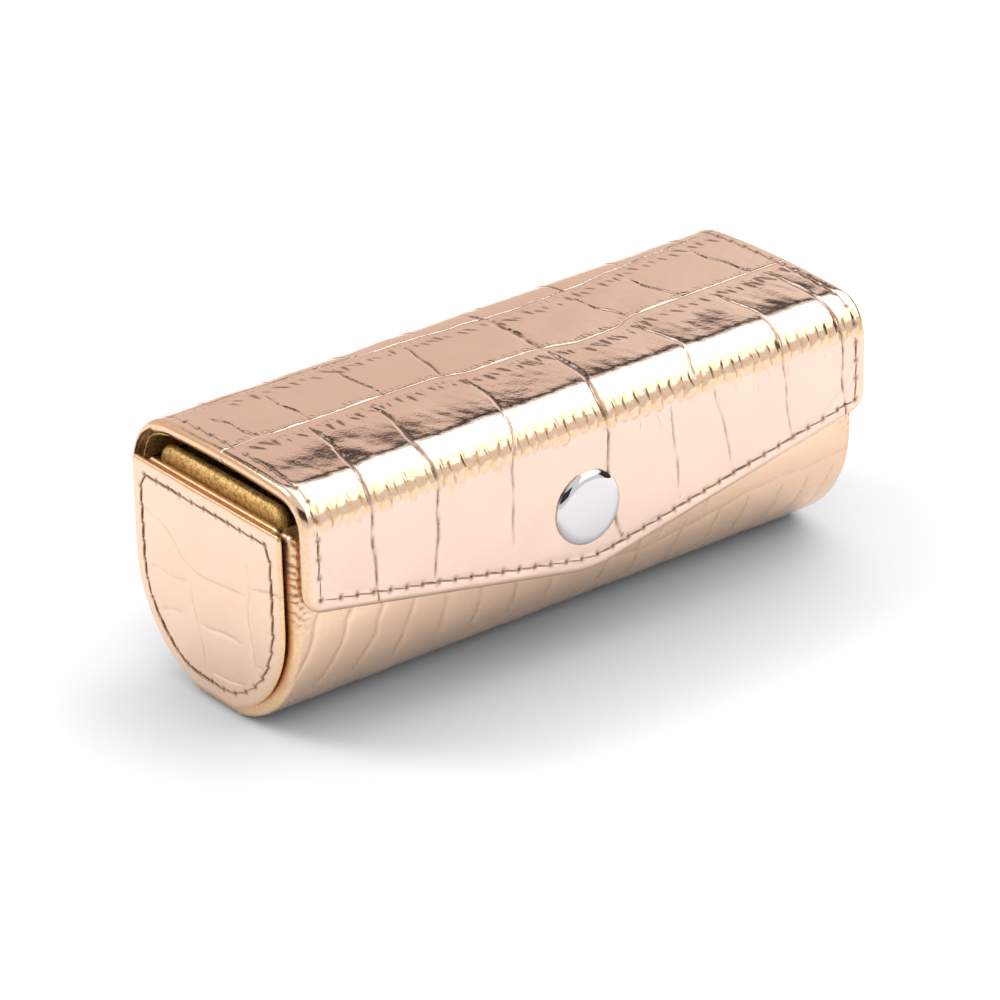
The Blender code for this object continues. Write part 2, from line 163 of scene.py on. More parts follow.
class TrimSettings(bpy.types.PropertyGroup):
    """Lining, thread, board and metal."""

    glitter: colour("Glitter", "Gold flakes of the lining", "#F4CE86")
    glue: colour("Glitter ground", "Brown glue between the flakes", "#A2742F")
    thread: colour("Thread", "Brown waxed thread", "#C49A78")
    pitch: length("Stitch", "Distance from one needle hole to the next", 0.00265)
    nickel: colour("Nickel", "Polished plating of the press stud", "#DAD8D8")
    board: colour("Board", "Grey pulp board inside the walls", "#A39B8C")


class StudioSettings(bpy.types.PropertyGroup):
    """Floor, lights and camera."""

    floor: colour("Floor", "White paper", "#F7F7F8")
    walls: colour("Room", "Pale room around the table", "#F0F0F1")
    wall_low: colour("Wall", "Warm wall reflected in the left of the lid", "#E6D5CA")
    wall_high: colour("Wall, lit", "Warm wall reflected in the right of the lid", "#FBF2ED")
    softbox: FloatProperty(
        name="Softbox", description="Power of the large light overhead", default=9.8, min=0,
        unit="POWER",
    )
    key: FloatProperty(
        name="Key", description="Power of the light behind the case on the left", default=9.5,
        min=0, unit="POWER",
    )
    azimuth: FloatProperty(
        name="Azimuth", description="Camera's turn from the front", subtype="ANGLE",
        default=math.radians(-37.588),
    )
    elevation: FloatProperty(
        name="Elevation", description="Camera's height angle", subtype="ANGLE",
        default=math.radians(26.519),
    )
    roll: FloatProperty(
        name="Roll", description="Camera's roll", subtype="ANGLE", default=math.radians(-1.362),
    )
    distance: length("Distance", "From the camera to the case", 0.7537)
    lens: FloatProperty(name="Lens", description="Focal length", default=204.3, unit="CAMERA")


# Meshes


def outward(points, faces):
    """The faces turned round if the closed shape's signed volume is negative.

    The volume is the sum, over triangles fanned from each face's first corner, of the corners'
    triple product.
    """
    total = 0.0
    for group in faces:
        corner = points[group]
        for i in range(1, group.shape[1] - 1):
            cross = np.cross(corner[:, i], corner[:, i + 1])
            total += float(np.einsum("ij,ij->", corner[:, 0], cross))
    return faces if total > 0 else [group[:, ::-1] for group in faces]


def make_piece(name, points, faces, material, attributes=None):
    """A smooth closed mesh from points in millimetres and arrays of faces."""
    points = np.asarray(points, float).reshape(-1, 3)
    rows = [row for group in outward(points, faces) for row in group.tolist()]
    mesh = bpy.data.meshes.new(name)
    mesh.from_pydata((points * MM).tolist(), [], rows)
    for key, values in (attributes or {}).items():
        data = mesh.attributes.new(key, "FLOAT", "POINT").data
        data.foreach_set("value", np.asarray(values, np.float32).ravel())
    mesh.shade_smooth()
    mesh.materials.append(material)
    piece = bpy.data.objects.new(name, mesh)
    bpy.context.scene.collection.objects.link(piece)
    return piece


def grid_quads(index):
    """Quads between the points of a grid of indices."""
    quads = np.stack([index[:-1, :-1], index[1:, :-1], index[1:, 1:], index[:-1, 1:]], axis=-1)
    return quads.reshape(-1, 4)


def rim_of(index):
    """The indices round the border of a grid, in order, each once."""
    return np.concatenate([index[:, 0], index[-1, 1:], index[-2::-1, -1], index[0, -2:0:-1]])


def closed_slab(name, top, under, material, attributes=None, every=4):
    """A closed slab between a fine grid of points and another of which each 4th point is used.

    Each side of the rim face takes that many edges of the fine border and one of the coarse one.
    """
    coarse = under[::every, ::every]
    upper = np.arange(top[..., 0].size).reshape(top.shape[:2])
    lower = upper.size + np.arange(coarse[..., 0].size).reshape(coarse.shape[:2])
    fine_rim, coarse_rim = rim_of(upper), rim_of(lower)
    start = np.arange(len(coarse_rim)) * every
    spans = fine_rim[(start[:, None] + np.arange(every + 1)) % len(fine_rim)]
    rim = np.column_stack([spans[:, ::-1], coarse_rim, np.roll(coarse_rim, -1)])
    points = np.concatenate([top.reshape(-1, 3), coarse.reshape(-1, 3)])
    values = {
        key: np.concatenate([grid.ravel(), grid[::every, ::every].ravel()])
        for key, grid in (attributes or {}).items()
    }
    faces = [grid_quads(upper), grid_quads(lower)[:, ::-1], rim]
    return make_piece(name, points, faces, material, values)


def eased(start, end, values):
    """0 below start, 1 above end, and a smooth S between."""
    t = np.clip((values - start) / (end - start), 0, 1)
    return t * t * (3 - 2 * t)


def edge_steps(length, rounding, count, both=False):
    """Distances across a sheet from 0 to length, closer together over its rounded edge.

    Over the rounding they go as 1 - cos, so that each takes an equal turn of the edge.
    """
    turn = rounding * (1 - np.cos(np.linspace(0, math.pi / 2, 9)))[:-1]
    if both:
        middle = np.linspace(rounding, length - rounding, count - 2 * len(turn))
        return np.concatenate([turn, middle, length - turn[::-1]])
    return np.concatenate([turn, np.linspace(rounding, length, count - len(turn))])


def edge_drop(distance, radius):
    """How far a quarter-round edge falls at a distance in from the outline."""
    inside = np.clip(radius - distance, 0, radius)
    return radius - np.sqrt(np.maximum(radius**2 - inside**2, 0))


# Lines in the section (y, z) that sheets are carried along


def bend_line(start, heading, sections, side, soften):
    """A line walked from a start with a heading, as places and outward normals by distance.

    Each section is a length and the turn spread evenly over it. The walked line is then averaged
    over a window, which eases the change from straight to round.
    """
    headings, steps = [], []
    for length, turn in sections:
        count = max(1, round(length / 0.02))
        headings.append(heading + turn * (np.arange(count) + 0.5) / count)
        steps.append(np.full(count, length / count))
        heading += turn
    headings, steps = np.concatenate(headings), np.concatenate(steps)
    walked = np.stack([np.cos(headings), np.sin(headings)]) * steps
    line = np.array(start)[:, None] + np.concatenate([np.zeros((2, 1)), np.cumsum(walked, 1)], 1)
    half = max(1, round(soften / 0.02))
    padded = np.pad(line, ((0, 0), (half, half)), mode="reflect", reflect_type="odd")
    window = np.full(2 * half + 1, 1 / (2 * half + 1))
    line = np.array([np.convolve(row, window, "valid") for row in padded])
    along = np.gradient(line, axis=1)
    distance = np.concatenate([[0], np.cumsum(np.hypot(*np.diff(line)))])
    normal = side * np.stack([along[1], -along[0]]) / np.hypot(*along)
    return {"at": distance, "line": line, "normal": normal}


def place_on(line, x, at, depth):
    """Points (x, y, z) at distances along a line and depths below it."""
    y, z, ny, nz = (np.interp(at, line["at"], row) for row in (*line["line"], *line["normal"]))
    return np.stack([np.broadcast_to(x, y.shape), y - depth * ny, z - depth * nz], axis=-1)


def lid_line():
    """Up the back wall, over the lid and down the flap, from 0 where the front rounding begins."""
    quarter = math.pi / 2 - ROOF_TILT
    span = SHELL_R - FLAP_FACE - (BACK_R + FRONT_R) * (1 - math.sin(ROOF_TILT))
    roof = span / (1 - ROOF_TILT**2 / 6)
    wall = BACK_Z - SEAM_Z
    line = bend_line(
        (SHELL_R, SEAM_Z), math.pi / 2,
        [
            (wall, 0), (quarter * BACK_R, quarter), (roof, 2 * ROOF_TILT),
            (quarter * FRONT_R, quarter), (22, 0),
        ],
        1, 1.1,
    )
    line["at"] = line["at"] - np.interp(wall + quarter * BACK_R + roof, line["at"], line["at"])
    return line


def tray_line(depth, back_top, front_top, lip):
    """From the back wall's top down, round the bottom and up the front, that far inside the face.

    A lip turns in over the front wall.
    """
    radius = SHELL_R - depth
    foot_turn = math.asin((SHELL_Z - depth) / radius)
    foot = 2 * math.sqrt(radius**2 - (SHELL_Z - depth) ** 2)
    corner = math.pi / 2 - foot_turn
    sections = [
        (back_top - SHELL_Z, 0), (radius * foot_turn, -foot_turn), (0.02, -corner), (foot, 0),
        (0.02, -corner), (radius * foot_turn, -foot_turn),
    ]
    if lip:
        turn = LIP_R * math.pi / 2
        sections += [(front_top - LIP_R - SHELL_Z, 0), (turn, -math.pi / 2), (LIP_DEPTH - LIP_R, 0)]
    else:
        sections += [(front_top - SHELL_Z, 0)]
    return bend_line((radius, back_top), -math.pi / 2, sections, -1, 0.5)


LID = lid_line()
FRONT_END = (math.pi / 2 - ROOF_TILT) * FRONT_R
FLAP_TOP = float(np.interp(FRONT_END, LID["at"], LID["line"][1]))
BACK_END = float(LID["at"][0])


def down_flap(z):
    """Distance along the lid's line of a height on the flap."""
    return FRONT_END + FLAP_TOP - z


def flap_low(x):
    """Height of the flap's lower edge: a shallow V whose tip is a circle."""
    across = math.cos(math.atan(FLAP_SLOPE))
    tangent = FLAP_TIP_R * math.sin(math.atan(FLAP_SLOPE))
    apex = FLAP_LOW - FLAP_TIP_R * (1 / across - 1)
    off = np.abs(x - FLAP_TIP_X)
    tip = apex + FLAP_TIP_R / across - np.sqrt(np.maximum(FLAP_TIP_R**2 - off**2, 0))
    return np.where(off < tangent, tip, apex + FLAP_SLOPE * off)


def flap_end(x):
    """Distance along the lid's line of the flap's lower edge, with its two corners rounded."""
    run = np.clip(np.abs(x) - (LID_HALF - FLAP_CORNER), 0, FLAP_CORNER)
    return down_flap(flap_low(x) + FLAP_CORNER - np.sqrt(FLAP_CORNER**2 - run**2))


# Embossing. Lines are (x, distance) in millimetres, chosen for each panel.

ROOF_SEAM = [
    (-48, -12.9), (-44, -12.9), (-40, -13.2), (-38, -12.7), (-20, -12.6), (-12.5, -12.4),
    (-8.5, -10.9), (2, -10.8), (4, -10.3), (8, -8.9), (15.5, -9.2), (18, -10.7), (28, -10.9),
    (48, -11.1),
]
ROOF_BACK_LINE = [
    (-48, -26.6), (-30, -26.2), (-12, -24.9), (-5, -24.2), (2, -24), (4, -22.9), (14, -22.8),
    (20, -23.4), (30, -24.9), (48, -26),
]
ROOF_ACROSS = [
    [(-41.5, -22.4), (-40.3, -13.2)], [(-32.5, -23.4), (-32.2, -12.7)],
    [(-21, -23.4), (-20.8, -12.6)],
    [(-9.5, -22.4), (-11.7, -12.3)], [(3.9, -21.6), (3.7, -15), (3.3, -10.6)],
    [(16.4, -20.6), (16.7, -16), (18.3, -10.9)], [(26, -20.4), (26.4, -16), (27.8, -10.9)],
    [(38.4, -22.4), (38.6, -18), (40, -11)], [(2.6, -26.4), (3.9, -22.9)],
    [(16.9, -26.4), (17.5, -23.1)],
]
FRONT_ACROSS = [
    [(-33.8, -10.9), (-34.3, -6), (-36.3, 3), (-36.2, 9), (-35.5, 19.9)],
    [(-24, -11), (-24.4, -5.4), (-26.5, 2), (-25.4, 7), (-26.3, 19.5)],
    [(-10, -9.6), (-10.6, -1.4), (-12.2, 2), (-13.8, 7), (-13.7, 19.4)],
    [(3.5, -8.6), (3.1, -1.4), (1, 3), (2.8, 7.6), (1.6, 13), (3, 20.4), (4.2, 24)],
    [(17.0, -7.6), (18.9, -2), (18.6, 1), (16.2, 3.6), (17.6, 6)],
    [(31.4, -8.6), (32.4, -3), (32.8, 2), (31.3, 4.5), (31.9, 9), (33.5, 19)],
    [(41.4, -8.8), (42, -3), (41.9, 2), (42.3, 7), (42.4, 13), (43, 21)],
    [(12.7, 7.9), (13.2, 14), (14.3, 21.4)], [(20, 7.9), (21.3, 12), (22.2, 17), (23.3, 21)],
]
BACK_ACROSS = [
    [(x, -26), (x - 0.8, -33), (x + 0.4, -41)] for x in (-39, -29, -17.5, -6, 6, 17, 28.5, 40)
]


def smooth_line(points, count=60):
    """A line through points, made smooth by averaging over a tenth of its length."""
    points = np.array(points, float)
    at = np.concatenate([[0], np.cumsum(np.hypot(*np.diff(points, axis=0).T))])
    even = np.linspace(0, at[-1], count)
    line = np.stack([np.interp(even, at, points[:, i]) for i in (0, 1)])
    padded = np.pad(line, ((0, 0), (3, 3)), mode="reflect", reflect_type="odd")
    return np.array([np.convolve(row, np.full(7, 1 / 7), "valid") for row in padded]).T


def seam_at(x, points=tuple(ROOF_SEAM)):
    """Distance along the lid's line of the long groove across the roof."""
    line = smooth_line(points, 240)
    return np.interp(x, line[:, 0], line[:, 1])


def distance_to(x, w, line):
    """Distance from each place to a line of points: the least over its straight parts."""
    nearest = np.full(x.shape, 1e6)
    for (ax, aw), (bx, bw) in zip(line[:-1], line[1:]):
        dx, dw = bx - ax, bw - aw
        share = np.clip(((x - ax) * dx + (w - aw) * dw) / (dx * dx + dw * dw + 1e-12), 0, 1)
        nearest = np.minimum(nearest, (x - ax - share * dx) ** 2 + (w - aw - share * dw) ** 2)
    return np.sqrt(nearest)


def ripple(x, w, wavelength, rng, waves=9):
    """A smooth field of about unit height: plane waves of near one length, turned at random."""
    turn = rng.uniform(0, 2 * math.pi, waves)
    number = 2 * math.pi / (wavelength * rng.uniform(0.7, 1.4, waves))
    phase = rng.uniform(0, 2 * math.pi, waves)
    field = sum(
        np.sin(k * (x * math.cos(a) + w * math.sin(a)) + p) for k, a, p in zip(number, turn, phase)
    )
    return field / math.sqrt(waves / 2)


class Relief:
    """The height, the wear and the painted shade of an embossed sheet, worked out over a grid of places."""

    def __init__(self, x, w, leather, seed):
        self.rng = np.random.default_rng(seed)
        self.x, self.w = x, w
        # A plate pressed by hand-drawn lines: places are shifted a little, so no line is straight.
        self.shift_x = x + 0.12 * ripple(x, w, 6.0, self.rng) + 0.02 * ripple(x, w, 1.3, self.rng)
        self.shift_w = w + 0.12 * ripple(x, w, 6.0, self.rng) + 0.02 * ripple(x, w, 1.3, self.rng)
        self.depth = leather.groove_depth / MM
        self.width = leather.groove_width / MM
        self.cut = np.zeros(x.shape)
        self.dark = np.zeros(x.shape)
        self.away = np.full(x.shape, 6.0)
        self.raised = np.zeros(x.shape)
        self.crinkle = np.zeros(x.shape)

    def press(self, near, cut, dark):
        self.cut[near] = np.maximum(self.cut[near], cut)
        self.dark[near] = np.maximum(self.dark[near], dark)

    def grooves(self, lines, depth=1.0, width=1.0, dark=1.0):
        """Each line cuts a bell-shaped trough: depth * exp(-(distance / width)^2).

        The depth falls to a tenth of that at the line's two tips, as 1 - 0.9 exp(-(d / 1.1)^2).
        """
        for points in lines:
            line = smooth_line(points, max(6, 4 * len(points)))
            low, high = line.min(0) - 7, line.max(0) + 7
            near = (self.x > low[0]) & (self.x < high[0]) & (self.w > low[1]) & (self.w < high[1])
            gap = distance_to(self.shift_x[near], self.shift_w[near], line)
            bell = np.exp(-((gap / (width * self.width)) ** 2))
            x, w = self.x[near], self.w[near]
            fade = np.clip(0.75 + 0.35 * ripple(x, w, 3.0, self.rng, 3), 0.2, 1)
            tip = np.minimum(*(np.hypot(x - a, w - b) for a, b in line[[0, -1]]))
            shallow = 1 - 0.9 * np.exp(-((tip / 1.1) ** 2))
            self.press(near, depth * self.depth * bell * shallow, dark * fade * bell**1.5)
            self.away[near] = np.minimum(self.away[near], gap)

    def dents(self, places, long, wide, depth, dark=0.9):
        """Short slanting pits in a row of places, each wider at one end, like a tooth's mark.

        Across a pit the depth is a bell, whose width shrinks along it, and along it the depth is
        a flatter bell.
        """
        for x0, w0 in places:
            size = self.rng.uniform(0.6, 1.3)
            lean = self.rng.uniform(-0.1, 0.9)
            near = np.abs(self.x - x0) < 1.2 * long + 3 * wide
            near &= np.abs(self.w - w0) < 2.5 * long
            dx, dw = self.x[near] - x0, self.w[near] - w0
            along = np.clip(dw / (long * size), -2, 2)
            across = (dx - lean * dw) / (wide * size * (1 - 0.4 * along.clip(-1, 1)))
            bell = np.exp(-(across**2) - along**4)
            self.press(near, depth * size * bell, dark * bell)

    def row(self, start, end, least, most, middle, spread):
        """Places in a row from start to end, with uneven gaps, about a middle line of x."""
        x = start + np.cumsum(self.rng.uniform(least, most, int((end - start) / least)))
        x = x[x < end]
        return np.column_stack([x, middle(x) + self.rng.uniform(-spread, spread, len(x))])

    def marks(self, line_at, rows):
        """Rows of dents beside a line.

        Each row says where it starts, its least and most gap, how far it is from the line and
        spreads, and then the size, depth and darkness of its dents.
        """
        for start, least, most, off, spread, *dent in rows:
            middle = lambda x: line_at(x) + off
            self.dents(self.row(start, 45, least, most, middle, spread), *dent)

    def pillows(self, height=0.05, reach=1.3):
        """Scales bulge: the surface rises with distance from the nearest groove, then is level."""
        self.raised += height * (1 - np.exp(-self.away / reach))

    def unevenness(self, height, wavelength):
        self.raised += height * ripple(self.x, self.w, wavelength, self.rng)

    def ledge(self, line_at, height):
        """A step down to the front across a line: -height * tanh(t / 0.26) * exp(-|t| / 2.4).

        The height varies along the line by a third, as a product of two sines.
        """
        t = self.w - line_at(self.x)
        uneven = 0.65 + 0.35 * np.sin(2.3 * self.x) * np.sin(0.53 * self.x + 1)
        return -height * uneven * np.tanh(t / 0.26) * np.exp(-np.abs(t) / 2.4)

    def pleats(self, left, right, start, end):
        """Foil gathered round the bend: rows of small humps across it, with a scalloped lower edge.

        Each hump rises as sin(pi f)^0.9 over its width, for f from 0 to 1. The valleys between the
        humps get more of the yellower gold, as painted shade, and near the lower edge a dark tick is
        painted at the right of some humps: painted shadow under the pleat.
        """
        pitch = np.concatenate([self.rng.uniform(*left, 60), self.rng.uniform(*right, 140)])
        edges = -48 + np.cumsum(pitch[(np.cumsum(pitch) < 96)])
        edges = np.concatenate([[-60], edges, [60]])
        slide = self.x + 0.12 * ripple(self.x, self.w, 2.5, self.rng)
        which = np.clip(np.searchsorted(edges, slide) - 1, 0, len(edges) - 2)
        share = np.clip((slide - edges[which]) / (edges[which + 1] - edges[which]), 0, 1)
        hump = np.sin(math.pi * share) ** 0.9
        low = end + self.rng.uniform(-0.35, 0.35, len(edges))[which] + 0.45 * hump
        band = eased(start - 0.9, start + 0.9, self.w) * (1 - eased(low - 0.3, low + 0.1, self.w))
        size = np.diff(edges)[which].clip(0, 2)
        fine = 0.003 * ripple(self.x, self.w, 0.8, self.rng)
        self.raised += band * (0.07 * size * hump + 0.02 + fine)
        # Painted shade: the band's yellower gold is the foil's own colour, and the valleys between the humps
        # take more of it than the crests.
        self.crinkle = np.maximum(self.crinkle, band * (1 - 0.45 * hump))
        # Painted shadow: a dark tick at the right side of some humps near the band's lower edge, under the
        # pleat.
        mark = band * np.exp(-(((share - 0.93) / 0.09) ** 2)) * eased(end - 2.0, end - 0.2, self.w)
        shown = self.rng.uniform(0, 1, len(edges))[which] > 0.45
        self.dark = np.maximum(self.dark, 0.55 * mark * shown)

    def needle_holes(self, places):
        """A small round pit at each needle hole, darkened a little wider than the pit as painted shade of
        the hole, with a few short scratches round it.
        """
        for x0, w0 in places:
            near = (np.abs(self.x - x0) < 1.4) & (np.abs(self.w - w0) < 1.4)
            gap = np.hypot(self.x[near] - x0, self.w[near] - w0)
            # Painted shade: each needle hole is darkened brown 0.36 mm wide, wider than the shallow pit that
            # stands for the hole.
            pit, hole_shade = (np.exp(-((gap / width) ** 2)) for width in (0.26, 0.36))
            self.press(near, 0.12 * pit, 1.3 * hole_shade)
            self.raised[near] -= 0.02 * np.exp(-((gap / 0.8) ** 2))
        scratches = places + self.rng.uniform(-0.5, 0.5, places.shape)
        self.dents(scratches, 0.3, 0.1, 0.03, 0.6)

    def height(self):
        return self.raised - self.cut

    def attributes(self, satin):
        dull = np.broadcast_to(satin, self.x.shape)
        # The groove share is the brown of grooves, pits and cracks, and also the painted shade of the needle
        # holes and the painted shadow ticks under the pleats. The yellower gold share is that of crinkled
        # foil and edges, and also painted shade in the pleats' valleys.
        return {"groove": np.clip(self.dark, 0, 1), "crinkle": self.crinkle, "satin": dull}


# Materials


def feed(tree, node, values):
    """Sets or links a node's inputs: a mapping by name or number, or a row in their order."""
    for key, value in values.items() if isinstance(values, dict) else enumerate(values):
        if isinstance(value, bpy.types.NodeSocket):
            tree.links.new(value, node.inputs[key])
        else:
            node.inputs[key].default_value = value


def add_node(tree, kind, values=(), **settings):
    """A node with its own settings, and its inputs set to values or linked to sockets."""
    made = tree.nodes.new(kind)
    for key, value in settings.items():
        setattr(made, key, value)
    feed(tree, made, values)
    return made


def new_material(name, values):
    """A material whose Principled shader has these values, with its tree and shader."""
    made = bpy.data.materials.new(name)
    made.use_nodes = True
    shader = made.node_tree.nodes["Principled BSDF"]
    feed(made.node_tree, shader, values)
    return made, made.node_tree, shader


def rgba(colour, shade=1.0):
    return (*(c * shade for c in tuple(colour)[:3]), 1.0)


def per_mm(size):
    """Scale of a texture on Object coordinates whose grain is that many millimetres."""
    return 1 / (size * MM)


def foil_leather():
    """Split leather laminated with metallic foil and pressed with a heated crocodile plate.

    The foil is a near mirror with a fine grain. It is dull and brown in the grooves, where it
    cracks, and yellower where it is stretched over the front rounding. The same brown is painted
    as shade in the needle holes and as shadow ticks under the pleats, and the yellower gold is
    painted thicker in the pleats' valleys as shade. Where "satin" is 1 it is duller and deeper,
    as on the tray and its ends, which are handled more.
    """
    leather = bpy.context.scene.case_leather
    made, tree, shader = new_material("rose_gold_foil_leather", {"Metallic": 1.0})
    place = add_node(tree, "ShaderNodeTexCoord").outputs["Object"]
    pores, speckle, cloud = (
        add_node(
            tree, "ShaderNodeTexNoise", {"Vector": place, "Scale": per_mm(size), "Detail": detail},
        ).outputs["Fac"]
        for size, detail in ((0.5, 3.0), (0.2, 1.0), (9.0, 4.0))
    )
    groove, crinkle, satin = (
        add_node(tree, "ShaderNodeAttribute", attribute_name=name).outputs["Fac"]
        for name in ("groove", "crinkle", "satin")
    )
    # The foil varies by a few hundredths over a scale, as its colour coat does.
    tone = add_node(tree, "ShaderNodeMapRange", (cloud, 0.3, 0.7, 0.0, 0.3)).outputs[0]
    light, deep = (
        add_node(
            tree, "ShaderNodeMix", {0: satin, 6: rgba(leather.foil, k), 7: rgba(leather.satin, k)},
            data_type="RGBA",
        ).outputs[2]
        for k in (1.0, 0.88)
    )
    open_pores = add_node(tree, "ShaderNodeMapRange", (pores, 0.35, 0.6, 0.35, 1.0)).outputs[0]
    specks = add_node(tree, "ShaderNodeMapRange", (speckle, 0.3, 0.6, 0.6, 1.0)).outputs[0]
    # The yellower gold share is larger in the valleys of the pleats, as painted shade.
    broken_and_shaded, cracked_and_shaded = (
        add_node(tree, "ShaderNodeMath", pair, operation="MULTIPLY").outputs[0]
        for pair in ((crinkle, open_pores), (groove, specks))
    )
    # The brown of cracked foil also paints the shade in the needle holes and the shadow ticks under the
    # pleats.
    base, worn, crack_and_shade = light, rgba(leather.worn), rgba(leather.crack_and_shade)
    for share, colour in ((tone, deep), (broken_and_shaded, worn), (cracked_and_shaded, crack_and_shade)):
        base = add_node(
            tree, "ShaderNodeMix", {0: share, 6: base, 7: colour}, data_type="RGBA",
        ).outputs[2]
    smooth = (cloud, 0.3, 0.7, leather.gloss - 0.02, leather.gloss + 0.03)
    rough = add_node(tree, "ShaderNodeMapRange", smooth).outputs[0]
    for share, more in ((crinkle, 0.12), (satin, 0.17), (cracked_and_shaded, 0.25)):
        rough = add_node(
            tree, "ShaderNodeMath", (share, more, rough), operation="MULTIPLY_ADD",
        ).outputs[0]
    height, grain = (
        add_node(tree, "ShaderNodeMath", values, operation="MULTIPLY_ADD").outputs[0]
        for values in ((speckle, 0.3, pores), (satin, 0.016 * MM, 0.014 * MM))
    )
    bump = add_node(tree, "ShaderNodeBump", {"Strength": 1.0, "Height": height, "Distance": grain})
    feed(tree, shader, {"Base Color": base, "Roughness": rough, "Normal": bump.outputs[0]})
    return made


def glitter_lining():
    """Paper coated with gold glitter in brown glue: each flake is flat, and tilted its own way.

    Real flakes are 0.1 mm, and here they are 0.22 mm so that they show.
    """
    trim = bpy.context.scene.case_trim
    made, tree, shader = new_material("gold_glitter_lining", {"Metallic": 0.7, "Roughness": 0.34})
    place = add_node(tree, "ShaderNodeTexCoord").outputs["Object"]
    flakes = {"Vector": place, "Scale": per_mm(0.22)}
    flakes = add_node(tree, "ShaderNodeTexVoronoi", flakes).outputs
    fuzz = {"Vector": place, "Scale": per_mm(0.8), "Detail": 3.0}
    fuzz = add_node(tree, "ShaderNodeTexNoise", fuzz).outputs["Fac"]
    tone, tilt = (
        add_node(tree, "ShaderNodeMath", values, operation="MULTIPLY_ADD").outputs[0]
        for values in ((flakes["Color"], 0.7, fuzz), (flakes["Distance"], -1.6, flakes["Color"]))
    )
    share = add_node(tree, "ShaderNodeMapRange", (tone, 0.45, 1.05, 0.0, 1.0)).outputs[0]
    colours = {0: share, 6: rgba(trim.glue), 7: rgba(trim.glitter)}
    base = add_node(tree, "ShaderNodeMix", colours, data_type="RGBA").outputs[2]
    bump = {"Strength": 1.0, "Distance": 0.035 * MM, "Height": tilt}
    bump = add_node(tree, "ShaderNodeBump", bump).outputs[0]
    feed(tree, shader, {"Base Color": base, "Normal": bump})
    return made


def waxed_thread():
    """Three-ply polyester thread, waxed: the plies show as slanting ridges with a soft shine, and the
    troughs between them are painted darker as shade.
    """
    trim = bpy.context.scene.case_trim
    finish = {"Roughness": 0.5, "Sheen Weight": 0.2}
    made, tree, shader = new_material("waxed_polyester_thread", finish)
    uv = add_node(tree, "ShaderNodeUVMap", uv_map="twist").outputs[0]
    along, round_it, _ = add_node(tree, "ShaderNodeSeparateXYZ", (uv,)).outputs
    # Along runs 0 to 1 per stitch, and six ridges cross it at a slant.
    twist = add_node(tree, "ShaderNodeMath", (round_it, 2.0), operation="MULTIPLY").outputs[0]
    phase = (along, 6.0, twist)
    phase = add_node(tree, "ShaderNodeMath", phase, operation="MULTIPLY_ADD").outputs[0]
    turn = add_node(tree, "ShaderNodeMath", (phase, 2 * math.pi), operation="MULTIPLY").outputs[0]
    ridge = add_node(tree, "ShaderNodeMath", (turn,), operation="SINE").outputs[0]
    share = add_node(tree, "ShaderNodeMapRange", (ridge, -1.0, 1.0, 0.0, 1.0)).outputs[0]
    # Painted shade: the troughs between the plies take the thread colour at 0.55, the crests its full
    # colour.
    colours = {0: share, 6: rgba(trim.thread, 0.55), 7: rgba(trim.thread)}
    base = add_node(tree, "ShaderNodeMix", colours, data_type="RGBA").outputs[2]
    bump = {"Strength": 0.8, "Distance": 0.05 * MM, "Height": ridge}
    bump = add_node(tree, "ShaderNodeBump", bump).outputs[0]
    feed(tree, shader, {"Base Color": base, "Normal": bump})
    return made


def plated_metal(name, colour, roughness, scratch):
    """Nickel plate over brass, with wear lines so fine that they only soften the reflections."""
    made, tree, shader = new_material(name, {"Metallic": 1.0, "Base Color": rgba(colour)})
    place = add_node(tree, "ShaderNodeTexCoord").outputs["Object"]
    stretch = {"Vector": place, "Scale": (1.0, 1.0, 12.0)}
    stretch = add_node(tree, "ShaderNodeMapping", stretch).outputs[0]
    wear = {"Vector": stretch, "Scale": per_mm(3.0), "Detail": 4.0}
    wear = add_node(tree, "ShaderNodeTexNoise", wear).outputs["Fac"]
    rough = (wear, 0.35, 0.7, roughness, roughness + scratch)
    feed(tree, shader, {"Roughness": add_node(tree, "ShaderNodeMapRange", rough).outputs[0]})
    return made


def grey_board():
    """Bookbinder's grey board: pressed waste paper, dull, with short fibres of mixed grey."""
    trim = bpy.context.scene.case_trim
    made, tree, shader = new_material("grey_pulp_board", {"Roughness": 0.92})
    place = add_node(tree, "ShaderNodeTexCoord").outputs["Object"]
    stretch = {"Vector": place, "Scale": (0.35, 1.0, 1.0)}
    stretch = add_node(tree, "ShaderNodeMapping", stretch).outputs[0]
    fibres = {"Vector": stretch, "Scale": per_mm(0.5), "Detail": 6.0}
    fibres = add_node(tree, "ShaderNodeTexNoise", fibres).outputs["Fac"]
    share = add_node(tree, "ShaderNodeMapRange", (fibres, 0.3, 0.7, 0.0, 1.0)).outputs[0]
    colours = {0: share, 6: rgba(trim.board, 0.6), 7: rgba(trim.board)}
    base = add_node(tree, "ShaderNodeMix", colours, data_type="RGBA").outputs[2]
    bump = {"Strength": 0.6, "Distance": 0.04 * MM, "Height": fibres}
    bump = add_node(tree, "ShaderNodeBump", bump).outputs[0]
    feed(tree, shader, {"Base Color": base, "Normal": bump})
    return made


def silvered_glass():
    """Float glass silvered on its back: a clean mirror with faint smears."""
    finish = {"Metallic": 1.0, "Base Color": rgba(linear("#EEF2F1"))}
    made, tree, shader = new_material("silvered_glass", finish)
    place = add_node(tree, "ShaderNodeTexCoord").outputs["Object"]
    smear = {"Vector": place, "Scale": per_mm(14.0), "Detail": 3.0}
    smear = add_node(tree, "ShaderNodeTexNoise", smear).outputs["Fac"]
    rough = add_node(tree, "ShaderNodeMapRange", (smear, 0.4, 0.8, 0.01, 0.06)).outputs[0]
    feed(tree, shader, {"Roughness": rough})
    return made


